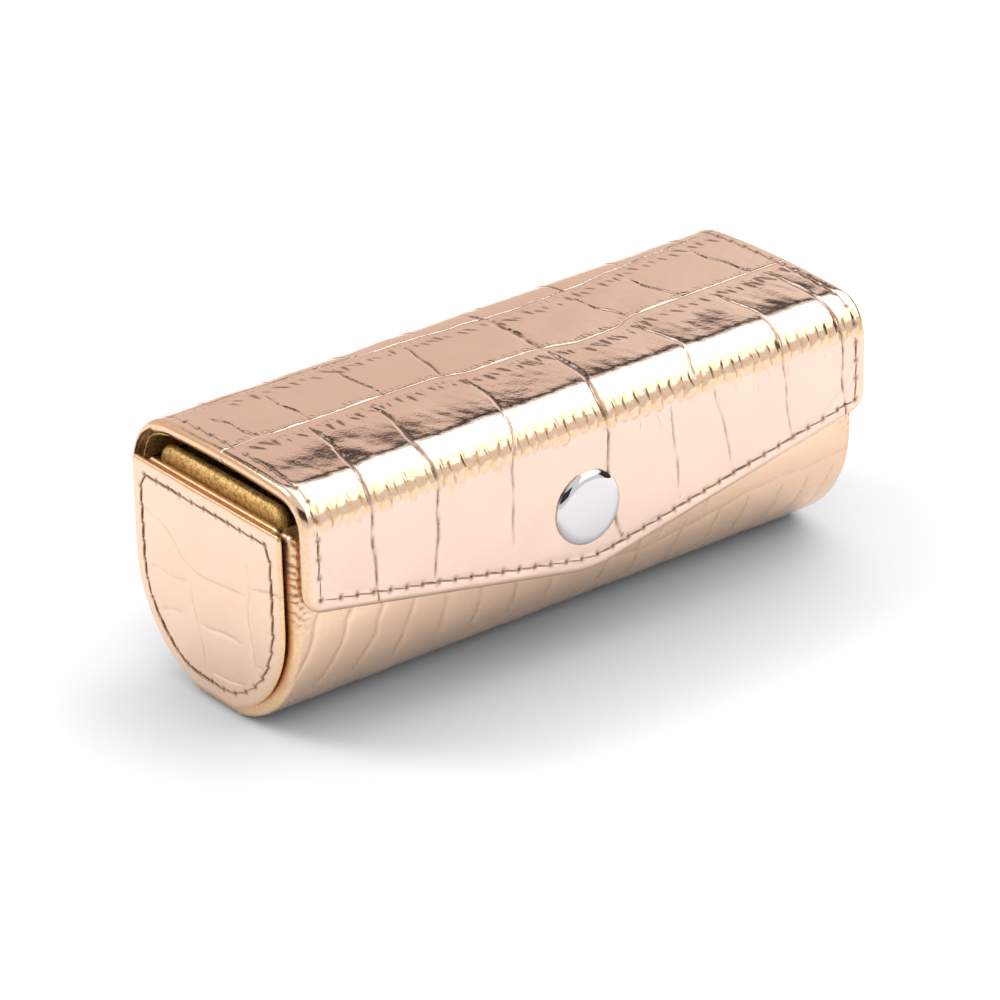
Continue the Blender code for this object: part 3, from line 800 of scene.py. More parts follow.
def shared(name, make):
    """The material of that name, made when it is first asked for."""
    return bpy.data.materials.get(name) or make()


def leather_material():
    return shared("rose_gold_foil_leather", foil_leather)


# Stitching


def evenly(points, pitch):
    """Places a stitch apart along a line of points, with the number of stitches made whole."""
    points = np.array(points, float)
    at = np.concatenate([[0], np.cumsum(np.linalg.norm(np.diff(points, axis=0), axis=1))])
    count = max(1, round(at[-1] / pitch))
    even = np.linspace(0, at[-1], count + 1)
    return np.stack([np.interp(even, at, points[:, i]) for i in range(points.shape[1])], axis=1)


def stitches(name, spans, ups):
    """One short thread from each needle hole to the next, as bent rods with sunk ends.

    Along a stitch, t runs from 0 to 1. Its middle line rises as 1 - (2t - 1)^4 times a lift above
    the sunk ends, and its radius falls to two thirds at the ends. Spans hold the two holes, and
    ups the outward directions there.
    """
    spans, ups = np.array(spans), np.array(ups)
    rings, sides = 9, 8
    t = np.linspace(0, 1, rings)
    lift = 0.27 * (1 - (2 * t - 1) ** 4) - 0.24
    radius = THREAD_R * (0.66 + 0.34 * np.sqrt(np.clip(1 - (2 * t - 1) ** 2, 0, 1)))
    along = spans[:, 1] - spans[:, 0]
    up = ups.mean(axis=1)
    up /= np.linalg.norm(up, axis=1, keepdims=True)
    across = np.cross(along, up)
    across /= np.linalg.norm(across, axis=1, keepdims=True)
    # Hand stitches lean: the far hole of each is a touch to one side.
    lean = 0.08 * np.sin(np.linspace(-math.pi / 2, math.pi / 2, rings))
    middle = (
        spans[:, 0, None] + along[:, None] * (0.03 + 0.94 * t)[:, None]
        + up[:, None] * lift[:, None] + across[:, None] * lean[:, None]
    )
    angle = np.arange(sides) * 2 * math.pi / sides
    ring = across[:, None, None] * np.cos(angle)[:, None]
    ring = ring + up[:, None, None] * np.sin(angle)[:, None]
    points = middle[:, :, None] + ring * radius[:, None, None]
    count = len(spans)
    index = np.arange(count * rings * sides).reshape(count, rings, sides)
    wrapped = np.concatenate([index, index[:, :, :1]], axis=2)
    start, end = wrapped[:, :-1], wrapped[:, 1:]
    quads = np.stack([start[..., :-1], start[..., 1:], end[..., 1:], end[..., :-1]], axis=-1)
    caps = np.concatenate([index[:, 0, ::-1], index[:, -1]])
    thread = shared("waxed_polyester_thread", waxed_thread)
    piece = make_piece(name, points, [quads.reshape(-1, 4), caps], thread)
    u = np.broadcast_to(np.linspace(0, 1, rings)[:, None], (rings, sides + 1))
    v = np.broadcast_to(np.linspace(0, 1, sides + 1), (rings, sides + 1))
    uv = np.stack([u, v], axis=-1)
    corner = np.stack([uv[:-1, :-1], uv[:-1, 1:], uv[1:, 1:], uv[1:, :-1]], axis=2)
    loops = np.zeros((len(piece.data.loops), 2), np.float32)
    if piece.data.polygons[0].vertices[1] != quads.reshape(-1, 4)[0, 1]:
        corner = corner[:, :, ::-1]
    flat = np.tile(corner.reshape(-1, 2), (count, 1))
    loops[: len(flat)] = flat
    piece.data.uv_layers.new(name="twist").data.foreach_set("uv", loops.ravel())
    return piece


def stitch_row(line, holes, depth=0.0):
    """Spans and outward directions of the stitches between needle holes (x, distance) on a line."""
    points = place_on(line, holes[:, 0], holes[:, 1], np.full(len(holes), depth))
    tips = place_on(line, holes[:, 0], holes[:, 1], np.full(len(holes), depth - 1.0))
    ups = tips - points
    return np.stack([points[:-1], points[1:]], 1), np.stack([ups[:-1], ups[1:]], 1)


def flap_holes(pitch):
    """Needle holes down one side of the flap, along its lower edge and up the other side."""
    side = LID_HALF - STITCH_MARGIN
    x = np.linspace(-side + 0.6, side - 0.6, 121)
    low = down_flap(flap_low(x) + STITCH_MARGIN / math.cos(math.atan(FLAP_SLOPE)))
    top = float(seam_at(side)) + 1.0
    left = [(-side, top), (-side, low[0] - 0.6)]
    right = [(side, low[-1] - 0.6), (side, float(seam_at(side)) + 1.0)]
    parts = [evenly(left, pitch), evenly(np.column_stack([x, low]), pitch), evenly(right, pitch)]
    corners = [(-side + 0.1, low[0] - 0.1)], [(side - 0.1, low[-1] - 0.1)]
    return np.concatenate([parts[0][:-1], corners[0], parts[1][1:-1], corners[1], parts[2][1:]])


def roof_holes(side, pitch):
    """Needle holes along one end of the lid, from the back rounding to the long groove."""
    x = side * (LID_HALF - STITCH_MARGIN)
    return evenly([(x, BACK_END + 11.5), (x, float(seam_at(x)) + 1.0)], pitch)


# Leather of lid, flap and tray


def lid_thickness(w):
    """The leather is thin over the hinge, and thicker where the lid's board is under it."""
    return HINGE_T + (LID_T - HINGE_T) * eased(BACK_END + 7.5, BACK_END + 13.5, w)


def outline_gap(x, w, end=None, start=None, corner=0.0):
    """Distance in from a sheet's outline: its sides, and an end or a start if it has one.

    Near a rounded corner it is the corner's radius less the distance to the corner's centre.
    """
    gaps = [LID_HALF - np.abs(x)]
    if end is not None:
        gaps.append(end - w)
    if start is not None:
        gaps.append(w - start)
    gap = gaps[0]
    for other in gaps[1:]:
        from_centre = np.hypot(np.clip(corner - gap, 0, None), np.clip(corner - other, 0, None))
        round_part = corner - from_centre
        gap = np.where((gap < corner) & (other < corner), round_part, np.minimum(gap, other))
    return np.maximum(gap, 0)


def front_relief(x, w, leather, pitch):
    """Scales of the lid's front half and the flap."""
    relief = Relief(x, w, leather, 11)
    relief.grooves([FRONT_ACROSS[i] for i in (0, 1, 6)], 0.65, 1.4, 1.0)
    relief.grooves([FRONT_ACROSS[i] for i in (2, 4, 5, 7, 8)], 0.5, 1.05, 0.7)
    relief.grooves([FRONT_ACROSS[3]], 1.0, 1.5, 1.0)
    relief.pillows()
    relief.marks(seam_at, [
        (-44, 0.9, 2.4, 2.9, 0.45, 0.75, 0.24, 0.05, 1.0),
        (-44, 0.6, 1.3, 1.9, 0.3, 0.35, 0.09, 0.025, 0.6),
    ])
    relief.pleats((1.3, 2.2), (0.5, 0.9), CRINKLE_FROM, CRINKLE_TO)
    under = lambda x: np.full(len(x), CRINKLE_TO + 1.9)
    relief.dents(relief.row(4, 42, 1.6, 4.0, under, 0.9), 0.8, 0.09, 0.03, 0.35)
    holes = flap_holes(pitch)
    relief.needle_holes(holes)
    relief.grooves([holes[::3]], 0.3, 1.6, 0.12)
    relief.unevenness(0.022, 9.0)
    relief.unevenness(0.003, 2.0)
    # The leather sags between the board and the left end's stitching, and less so at the right.
    for middle, amount in ((-35.5, 0.20), (38, 0.10), (-6, 0.05)):
        sag = np.exp(-(((x - middle) / 8.5) ** 4)) * eased(-8.5, -1.5, w) * (1 - eased(0.5, 5, w))
        relief.raised -= amount * sag * (1 + 0.1 * ripple(x, w, 6.0, relief.rng))
    return relief


def back_relief(x, w, leather, pitch):
    """Scales of the lid's rear half and the back of the case."""
    relief = Relief(x, w, leather, 23)
    relief.grooves([ROOF_BACK_LINE], 0.5, 0.9, 0.3)
    relief.grooves([ROOF_ACROSS[i] for i in (0, 1, 5, 6, 7)], 0.7, 0.9, 0.55)
    relief.grooves([ROOF_ACROSS[i] for i in (2, 3, 8, 9)], 0.6, 1.6, 1.0)
    relief.grooves([ROOF_ACROSS[4]], 0.8, 2.6, 1.0)
    relief.grooves(BACK_ACROSS)
    relief.grooves([[(-48, -35.5), (-20, -35), (8, -36.2), (48, -35.4)]], 1.2, 1.1)
    relief.pillows()
    relief.marks(seam_at, [(-44, 0.6, 0.95, -0.75, 0.12, 0.4, 0.09, 0.03, 0.6)])
    relief.marks(behind_at, [
        (-38, 0.9, 2.4, 2.6, 0.45, 0.75, 0.24, 0.05, 1.0),
        (-44, 0.6, 1.2, 0.9, 0.2, 0.3, 0.09, 0.025, 0.6),
    ])
    for side in (-1, 1):
        relief.needle_holes(roof_holes(side, pitch))
    relief.unevenness(0.022, 9.0)
    relief.unevenness(0.003, 2.0)
    relief.raised += relief.ledge(behind_at, 0.014) * eased(-16, -6, x)
    return relief


def behind_at(x):
    """Distance along the lid's line of the rear long line."""
    line = np.array(ROOF_BACK_LINE)
    return np.interp(x, line[:, 0], line[:, 1])


def spread_rows(zones, count):
    """Shares from 0 to 1 of a length made of zones, each (length, spacing), for that many rows.

    The rows are as close in each zone as its spacing says, relative to the others.
    """
    lengths, spacings = np.array(zones).T
    at = np.concatenate([[0], np.cumsum(lengths)])
    rows = np.concatenate([[0], np.cumsum(lengths / spacings)])
    return np.interp(np.linspace(0, rows[-1], count), rows, at) / at[-1]


def leather_grid(count_x, count_w, start, end, zones, rounded_end):
    """Grid of places (x, distance) between two lines across the sheet.

    The columns are closer over the rounded sides. With a rounded end, the last rows keep their
    distance from it, and are closer too.
    """
    edge = bpy.context.scene.case_leather.edge / MM
    x = edge_steps(2 * LID_HALF, edge, count_x, both=True) - LID_HALF
    start, end = start(x)[:, None], end(x)[:, None]
    if not rounded_end:
        w = start + (end - start) * spread_rows(zones, count_w)
    else:
        rim = 2.4
        near = edge_steps(rim, edge, 17)[::-1]
        body = start + (end - rim - start) * spread_rows(zones, count_w - 16)
        w = np.concatenate([body[:, :-1], end - near], axis=1)
    return np.broadcast_to(x[:, None], w.shape), w


def leather_sheet(name, x, w, relief, gap, thickness, line):
    """A closed sheet of embossed leather with rounded edges along a line.

    Heights fade out at the sides and at the long groove, where only the ledge is left, so that
    the two sheets that meet there agree.
    """
    edge = bpy.context.scene.case_leather.edge / MM
    keep = eased(0.2, 1.0, gap)
    seam = eased(0.0, 0.4, np.abs(w - seam_at(x)))
    height = (relief.height() * seam + relief.ledge(seam_at, 0.036)) * keep
    top = place_on(line, x, w, edge_drop(gap, edge) - height)
    snap = np.hypot(x - SNAP_X, w - down_flap(SNAP_Z))
    hollow = 0.7 * (1 - eased(4.6, 5.4, snap))
    under = place_on(line, x, w, thickness - edge_drop(gap, thickness / 2 - 0.02) - hollow)
    attributes = relief.attributes(1 - eased(BACK_END + 1, BACK_END + 19, w))
    crease = 0.5 * (1 - seam) * keep * (w > seam_at(x) - 0.02)
    attributes["groove"] = np.maximum(attributes["groove"] * keep, crease)
    attributes["crinkle"] = np.maximum(attributes["crinkle"], 0.75 * (1 - eased(0.15, 1.3, gap)))
    return closed_slab(name, top, under, leather_material(), attributes)


class CASE_OT_lid_leather(bpy.types.Operator):
    """Embossed leather over the lid, its hinge and the flap."""

    bl_idname = "case.lid_leather"
    bl_label = "Lid and Flap Leather"

    def execute(self, context):
        leather = context.scene.case_leather
        pitch = context.scene.case_trim.pitch / MM
        zones = [(5.2, 0.16), (6.3, 0.42), (6, 0.2), (14, 0.5)]
        x, w = leather_grid(705, 129, seam_at, flap_end, zones, True)
        straight = down_flap(flap_low(x))
        gap = outline_gap(x, w, end=straight, corner=FLAP_CORNER)
        gap[:, -1] = 0
        relief = front_relief(x, w, leather, pitch)
        front = leather_sheet("lid_front_leather", x, w, relief, gap, LID_T, LID)
        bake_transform(front, "lid", "flap", *fold_ends(0.0, FRONT_END))
        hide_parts("flap_leather", "flap_stiffener", "lid_board")
        zones = [(15.5, 0.55), (8.5, 0.17), (4.4, 0.42), (3.1, 0.16)]
        hem = lambda x: np.full(x.shape, BACK_END + 0.05)
        x, w = leather_grid(705, 121, hem, seam_at, zones, False)
        gap = outline_gap(x, w)
        relief = back_relief(x, w, leather, pitch)
        back = leather_sheet("lid_back_leather", x, w, relief, gap, lid_thickness(w), LID)
        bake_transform(back, "tray", "lid", *hinge_ends())
        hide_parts("lid_leather", "hinge_leather")
        return {"FINISHED"}


def fold_ends(start, end):
    """Two points in metres where a bend along the lid's line begins and ends."""
    ends = place_on(LID, np.zeros(2), np.array([start, end]), np.zeros(2)) * MM
    return [tuple(point) for point in ends]


def hinge_ends():
    """Where the lid's back rounding begins and ends."""
    start = BACK_END + BACK_Z - SEAM_Z
    return fold_ends(start, start + (math.pi / 2 - ROOF_TILT) * BACK_R)


TRAY = tray_line(0.0, SEAM_Z, TRAY_TOP, True)
TRAY_LENGTH = float(TRAY["at"][-1])
TRAY_HALF = PANEL_BACK - 0.15
FRONT_WALL = TRAY_LENGTH - (LIP_DEPTH - LIP_R) - LIP_R * math.pi / 2 - (TRAY_TOP - LIP_R - SHELL_Z)


def below(s):
    """Distance along the tray's line of a place s below where its front starts to round under."""
    return FRONT_WALL - s


def below_all(*points):
    return [(x, below(s)) for x, s in points]


def tray_relief(x, w, leather):
    """Long slanting creases under the flap, small scales at the right, and rows over the rest."""
    relief = Relief(x, w, leather, 37)
    soft = {"depth": 0.8, "width": 1.35, "dark": 0.25}
    slants = [
        (-42.6, -47), (-37, -41.8), (-32, -35.8), (-27.6, -29.6), (-23, -22.8), (-17.2, -16.7),
        (-11.5, -10.5), (-5, -4.2),
    ]
    lines = [below_all((a, -3), ((a + b) / 2 + 0.6, 2.5), (b, 11)) for a, b in slants]
    relief.grooves(lines, **soft)
    steep = [
        (5.2, 5), (10.6, 10.8), (17.8, 17.6), (24, 23.6), (29, 28.6), (35, 34), (39.4, 38.6),
        (43.6, 42.6),
    ]
    relief.grooves([below_all((a, 5.5), (b, 13)) for a, b in steep], **soft)
    edge = below_all(
        (-48, -3.2), (-6, -3), (-2, 2), (2, 7.6), (8, 8.6), (14, 7.8), (20, 5.8), (29, 4.2),
        (48, 3),
    )
    relief.grooves([edge], 0.3, 1.6, 0.15)
    cells = [
        below_all((14, 0), (13.6, 7.6)), below_all((23, -3), (22.4, 1), (21, 5.6)),
        below_all((30, -6), (30.2, -0.5), (31, 0.2), (36, 0.2), (36.8, -0.6), (36.9, -6)),
    ]
    relief.grooves(cells, 0.35, 1.2, 0.3)
    rng = np.random.default_rng(5)
    for row, middle in enumerate(np.arange(4, below(22), 10.5)):
        for place in np.arange(-44 + 4.5 * (row % 2), 46, 9.5) + rng.uniform(-1, 1):
            lean = rng.uniform(-0.8, 0.8)
            relief.grooves([[(place, middle - 5), (place + lean, middle + 5)]], **soft)
        long_line = [(-48, 5), (-15, 5.4), (12, 4.6), (48, 5.2)]
        relief.grooves([[(place, middle + off) for place, off in long_line]], **soft)
    relief.pillows(0.07, 1.6)
    relief.unevenness(0.03, 9.0)
    # The foil is wrinkled where the leather is drawn round each end of the board.
    ends = eased(TRAY_HALF - 3.2, TRAY_HALF - 1.0, np.abs(x)) * eased(below(2), below(-4), w)
    coarse, fine = (ripple(x, w, length, relief.rng) for length in (1.0, 0.5))
    relief.raised += 0.022 * ends * (coarse + 0.6 * fine)
    relief.dark = np.maximum(relief.dark, 0.8 * ends * np.clip(ripple(x, w, 0.8, relief.rng), 0, 1))
    return relief


class CASE_OT_tray_leather(bpy.types.Operator):
    """Embossed leather round the tray, turned in over its front wall."""

    bl_idname = "case.tray_leather"
    bl_label = "Tray Leather"

    def execute(self, context):
        leather = context.scene.case_leather
        # At each end the leather turns in, down to the ply of the end panel.
        turned = TRAY_HALF - TURN_IN
        inner = np.linspace(-turned + 0.06, turned - 0.06, 273)
        step = np.linspace(0, 0.06, 5)[1:-1]
        ends = TRAY_HALF - edge_steps(TURN_IN, TURN_IN, 9)
        x = np.concatenate([-ends, inner[0] - step[::-1], inner, inner[-1] + step, ends[::-1]])
        w = np.linspace(0.05, TRAY_LENGTH, 269)
        x, w = np.meshgrid(x, w, indexing="ij")
        gap = np.minimum(TRAY_HALF - np.abs(x), np.where(w > TRAY_LENGTH - 4, TRAY_LENGTH - w, 9))
        relief = tray_relief(x, w, leather)
        keep = eased(0.2, 1.2, gap)
        top = place_on(TRAY, x, w, edge_drop(gap, TURN_IN) - relief.height() * keep)
        # The foot rests on the floor, so nothing of it goes below.
        top[..., 2] = np.maximum(top[..., 2], 0)
        lip = eased(TRAY_LENGTH - 4.5, TRAY_LENGTH - 2.5, w)
        turn_in = np.where(np.abs(x) > turned - 0.01, 1.95 * (1 - lip), 0.0)
        under = place_on(TRAY, x, w, TRAY_T + turn_in - edge_drop(gap, 0.5))
        attributes = relief.attributes(1.0)
        attributes["crinkle"] = 0.8 * (1 - eased(0.1, 1.1, gap))
        cover = closed_slab("tray_leather_cover", top, under, leather_material(), attributes)
        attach(cover, "tray")
        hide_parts("tray_leather")
        return {"FINISHED"}


# End panels and pads


def d_grid(radius, top, corner, rows, columns):
    """Grid (y, z) that fills a D, in rows from side to side, and the distance in from its outline.

    The D is a half circle with a flat foot below, straight sides and two rounded corners above.
    """
    low = SHELL_R - radius
    reach = math.asin(min(1.0, (SHELL_Z - low) / radius))
    lower = SHELL_Z - radius * np.sin(np.linspace(reach, 0, rows // 2))
    straight = np.linspace(SHELL_Z, top - corner, rows - rows // 2 - 8)[1:]
    upper = top - corner + corner * np.sin(np.linspace(0, math.pi / 2, 10))[1:]
    z = np.concatenate([lower, straight, upper])
    half = np.sqrt(np.maximum(radius**2 - np.clip(SHELL_Z - z, 0, None) ** 2, 0))
    over = np.clip(z - (top - corner), 0, corner)
    half = half - corner + np.sqrt(np.maximum(corner**2 - over**2, 0))
    even = np.linspace(-1, 1, columns)
    share = np.sin(np.linspace(-math.pi / 2, math.pi / 2, columns)) * 0.35 + even * 0.65
    y = half[:, None] * share
    z = np.broadcast_to(z[:, None], y.shape)
    side = radius - np.hypot(y, np.clip(SHELL_Z - z, 0, None))
    gap = np.minimum(np.minimum(side, top - z), np.where(np.abs(y) < FOOT_HALF, z - low, 99))
    near_y = np.clip(corner - (radius - np.abs(y)), 0, None)
    near_z = np.clip(corner - (top - z), 0, None)
    gap = np.where((near_y > 0) & (near_z > 0), corner - np.hypot(near_y, near_z), gap)
    gap = np.maximum(gap, 0)
    gap[0], gap[-1], gap[:, 0], gap[:, -1] = 0, 0, 0, 0
    return y, z, gap


def d_line(radius, top, corner, count=160):
    """The outline (y, z) of a D, closed, from the middle of its top round the back."""
    low = SHELL_R - radius
    reach = math.asin(min(1.0, (SHELL_Z - low) / radius))
    turn = np.linspace(math.pi / 2, 0, 9)
    lower = np.linspace(0, -reach, 40)
    rounded = corner * np.column_stack([np.cos(turn), np.sin(turn)])
    rounded = rounded + (radius - corner, top - corner)
    under = np.column_stack([radius * np.cos(lower), SHELL_Z + radius * np.sin(lower)])
    back = np.concatenate([[(0.0, top)], rounded, under])
    return evenly(np.concatenate([back, back[::-1] * (-1, 1)]), 2 * math.pi * radius / count)


def end_faces(sign, y, z, *depths):
    """Grids of points on one end, at distances along the case from its middle."""
    return [np.stack([sign * x, y, z], axis=-1) for x in depths]


PANEL_LINES = [
    [(-9, 24), (-9.2, 21), (-9, 15), (-9.8, 10)], [(-9.5, 20.8), (-17, 22.3)],
    [(13.5, 23.8), (7, 22.4), (6, 20), (4, 17.7), (0, 18.8), (-8, 19.2)], [(12.5, 15.7), (5, 16.3)],
    [(3.5, 15.5), (2.8, 12), (1.8, 10), (1.5, 5)], [(2, 11.2), (-3, 12), (-7, 12.2)],
    [(11, 10.3), (5, 11.7)], [(0.5, 4.7), (-8, 6.2)], [(-9.8, 10), (-12, 10)],
]


class CASE_OT_end_panels(bpy.types.Operator):
    """The stitched leather panel on each end, and the gilt ply behind it."""

    bl_idname = "case.end_panels"
    bl_label = "End Panels"

    def execute(self, context):
        leather = context.scene.case_leather
        pitch = context.scene.case_trim.pitch / MM
        radius = box_mm("end_leather_left")[1][1]
        top = box_mm("end_leather_left")[1][2]
        holes = evenly(d_line(radius - STITCH_MARGIN, top - STITCH_MARGIN, 0.9), pitch)
        for side, sign in (("left", -1), ("right", 1)):
            y, z, gap = d_grid(radius, top, 0.8, 197, 201)
            relief = Relief(y * -sign, z, leather, 51)
            relief.grooves(PANEL_LINES, 0.45, 1.2, 0.22)
            relief.pillows(0.05, 1.2)
            relief.needle_holes(holes * (-sign, 1))
            relief.unevenness(0.035, 8.0)
            keep = eased(0.15, 0.8, gap)
            bulge = 0.14 * eased(0, 9, gap)
            face = END_FACE - edge_drop(gap, 0.42) + (relief.height() + bulge) * keep
            back = PANEL_BACK + edge_drop(gap, 0.42)
            grids = end_faces(sign, y, z, face, back)
            attributes = relief.attributes(0.6)
            attributes["crinkle"] = 0.8 * (1 - eased(0.1, 0.7, gap))
            panel = closed_slab(f"end_panel_{side}", *grids, leather_material(), attributes)
            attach(panel, "tray")
            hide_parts(f"end_leather_{side}")
            face_at = sign * (END_FACE + 0.1)
            points = np.column_stack([np.full(len(holes), face_at), holes])
            spans = np.stack([points[:-1], points[1:]], axis=1)
            ups = np.zeros_like(spans)
            ups[..., 0] = sign
            thread = stitches(f"end_stitches_{side}", spans, ups)
            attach(thread, "tray")
            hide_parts(f"end_stitching_{side}")
            ply(side, sign)
        return {"FINISHED"}


def ply(side, sign):
    """The gilt ply between the end panel and the pad, with softly rounded edges."""
    low, high = box_mm(f"end_board_{side}")
    near, far = sorted((abs(low[0]), abs(high[0])))
    y, z, gap = d_grid(high[1], high[2], 0.8, 57, 57)
    drop = edge_drop(gap, (far - near) / 2 - 0.02)
    grids = end_faces(sign, y, z, far - drop, near + drop)
    shape = {"groove": 0 * gap, "crinkle": 1 + 0 * gap, "satin": 1 + 0 * gap}
    piece = closed_slab(f"end_ply_{side}", *grids, leather_material(), shape)
    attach(piece, "tray")
    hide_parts(f"end_board_{side}")


class CASE_OT_linings(bpy.types.Operator):
    """The glitter lining of tray, hinge, lid and flap, and the padded ends."""

    bl_idname = "case.linings"
    bl_label = "Linings and Pads"

    def execute(self, context):
        glitter = shared("gold_glitter_lining", glitter_lining)
        self.line_tray(glitter)
        self.line_lid(glitter)
        for side, sign in (("left", -1), ("right", 1)):
            self.pad(side, sign, glitter)
        return {"FINISHED"}

    def line_tray(self, glitter):
        """From the ledge at the hinge down the back wall, round the bottom and up the front."""
        _, high = box_mm("tray_lining")
        depth, ledge = SHELL_R - high[1], WALL_LEDGE_Z
        line = tray_line(depth, ledge - 0.5, high[2], False)
        half = high[0] - 0.02
        x = edge_steps(2 * half, 0.2, 97, both=True) - half
        w = np.linspace(0, float(line["at"][-1]), 161)
        x, w = np.meshgrid(x, w, indexing="ij")
        gap = np.minimum(half - np.abs(x), float(line["at"][-1]) - w)
        drop = edge_drop(gap, 0.24)
        faces = [place_on(line, x, w, depth) for depth in (0.6 - drop, drop)]
        lining = closed_slab("tray_glitter_lining", *faces, glitter)
        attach(lining, "tray")
        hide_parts("tray_lining")
        # A strip of the same lining turns over the board's top edge at the hinge.
        turn = bend_line(
            (SHELL_R - 1.55, ledge), math.pi,
            [(2.0, 0), (0.55 * math.pi / 2, math.pi / 2), (1.2, 0)], 1, 0.1,
        )
        x = np.linspace(-half, half, 97)
        x, w = np.meshgrid(x, np.linspace(0, float(turn["at"][-1]), 21), indexing="ij")
        faces = [place_on(turn, x, w, np.full(w.shape, depth)) for depth in (0.0, 0.3)]
        strip = closed_slab("ledge_glitter_lining", *faces, glitter)
        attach(strip, "tray")

    def line_lid(self, glitter):
        """Two sheets under the lid that meet at the long groove, one bending with each fold."""
        half = LID_HALF - 1.1
        x = edge_steps(2 * half, 0.16, 97, both=True) - half
        start = BACK_END + (HINGE_LINING_Z - SEAM_Z)
        rows = np.linspace(0, 1, 61)
        seam = seam_at(x)[:, None]
        w = start + (seam - start) * rows
        sheet = self.lid_sheet("lid_glitter_lining", x, w, half, glitter)
        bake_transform(sheet, "tray", "lid", *hinge_ends())
        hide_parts("lid_lining", "hinge_lining")
        end = flap_end(x)[:, None] - 1.0
        near = edge_steps(1.2, 0.16, 13)[::-1]
        body = seam + (end - 1.2 - seam) * np.linspace(0, 1, 85)
        w = np.concatenate([body[:, :-1], end - near], axis=1)
        sheet = self.lid_sheet("flap_glitter_lining", x, w, half, glitter, end)
        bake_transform(sheet, "lid", "flap", *fold_ends(0.0, FRONT_END))
        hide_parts("flap_lining")

    def lid_sheet(self, name, x, w, half, glitter, end=None):
        """A lining under the lid's leather, with a hole for the socket if it has an end."""
        x = np.broadcast_to(x[:, None], w.shape)
        gap = half - np.abs(x)
        if end is not None:
            gap = np.minimum(gap, end - w)
        drop = edge_drop(gap, 0.15)
        depth = lid_thickness(w) + 0.02
        under, top = place_on(LID, x, w, depth + LINING_T - drop), place_on(LID, x, w, depth + drop)
        sheet = closed_slab(name, under, top, glitter)
        if end is not None:
            self.open_for_socket(sheet)
        return sheet

    def open_for_socket(self, sheet):
        """A round hole in the flap's lining, where the press stud's socket shows."""
        turn = np.arange(48) * 2 * math.pi / 48
        ring = np.column_stack([np.cos(turn), 0 * turn, np.sin(turn)]) * SOCKET_HOLE_R
        ring += (SNAP_X, 0, SNAP_Z)
        points = np.concatenate([ring + (0, FLAP_FACE + 1.0, 0), ring + (0, FLAP_FACE + 4, 0)])
        index = np.arange(48)
        sides = np.stack([index, np.roll(index, -1), np.roll(index, -1) + 48, index + 48], axis=1)
        faces = [sides, index[None, ::-1], index[None] + 48]
        cutter = make_piece("socket_cutter", points, faces, sheet.data.materials[0])
        cut = sheet.modifiers.new("socket_hole", "BOOLEAN")
        cut.operation, cut.solver, cut.object = "DIFFERENCE", "EXACT", cutter
        bpy.context.view_layer.update()
        evaluated = sheet.evaluated_get(bpy.context.evaluated_depsgraph_get())
        opened = bpy.data.meshes.new_from_object(evaluated)
        sheet.modifiers.clear()
        sheet.data = opened
        bpy.data.objects.remove(cutter)

    def pad(self, side, sign, glitter):
        """A thin foam pad under glitter cloth, with a crowned face and a fully round edge."""
        low, high = box_mm(f"end_pad_{side}")
        near, far = sorted((abs(low[0]), abs(high[0])))
        y, z, gap = d_grid(high[1], high[2], 2.2, 97, 97)
        rng = np.random.default_rng(71 if sign < 0 else 72)
        lumps = 0.03 * ripple(y, z, 2.4, rng) * eased(0.3, 1.5, gap)
        drop = edge_drop(gap, (far - near) / 2 - 0.03)
        crown = 0.25 * eased(0, 8, gap)
        grids = end_faces(sign, y, z, far - drop + 0.3 * lumps, near + drop - crown + lumps)
        pad = closed_slab(f"end_cushion_{side}", *grids, glitter, every=2)
        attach(pad, "tray")
        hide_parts(f"end_pad_{side}")


class CASE_OT_stitching(bpy.types.Operator):
    """The brown stitches along the lid's ends and round the flap."""

    bl_idname = "case.stitching"
    bl_label = "Lid and Flap Stitching"

    def execute(self, context):
        pitch = context.scene.case_trim.pitch / MM
        spans, ups = stitch_row(LID, flap_holes(pitch))
        thread = stitches("flap_stitches", spans, ups)
        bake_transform(thread, "lid", "flap", *fold_ends(0.0, FRONT_END))
        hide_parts("flap_stitching")
        rows = [stitch_row(LID, roof_holes(side, pitch)) for side in (-1, 1)]
        thread = stitches("lid_stitches", *(np.concatenate(part) for part in zip(*rows)))
        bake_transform(thread, "tray", "lid", *hinge_ends())
        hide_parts("lid_stitching_left", "lid_stitching_right")
        return {"FINISHED"}


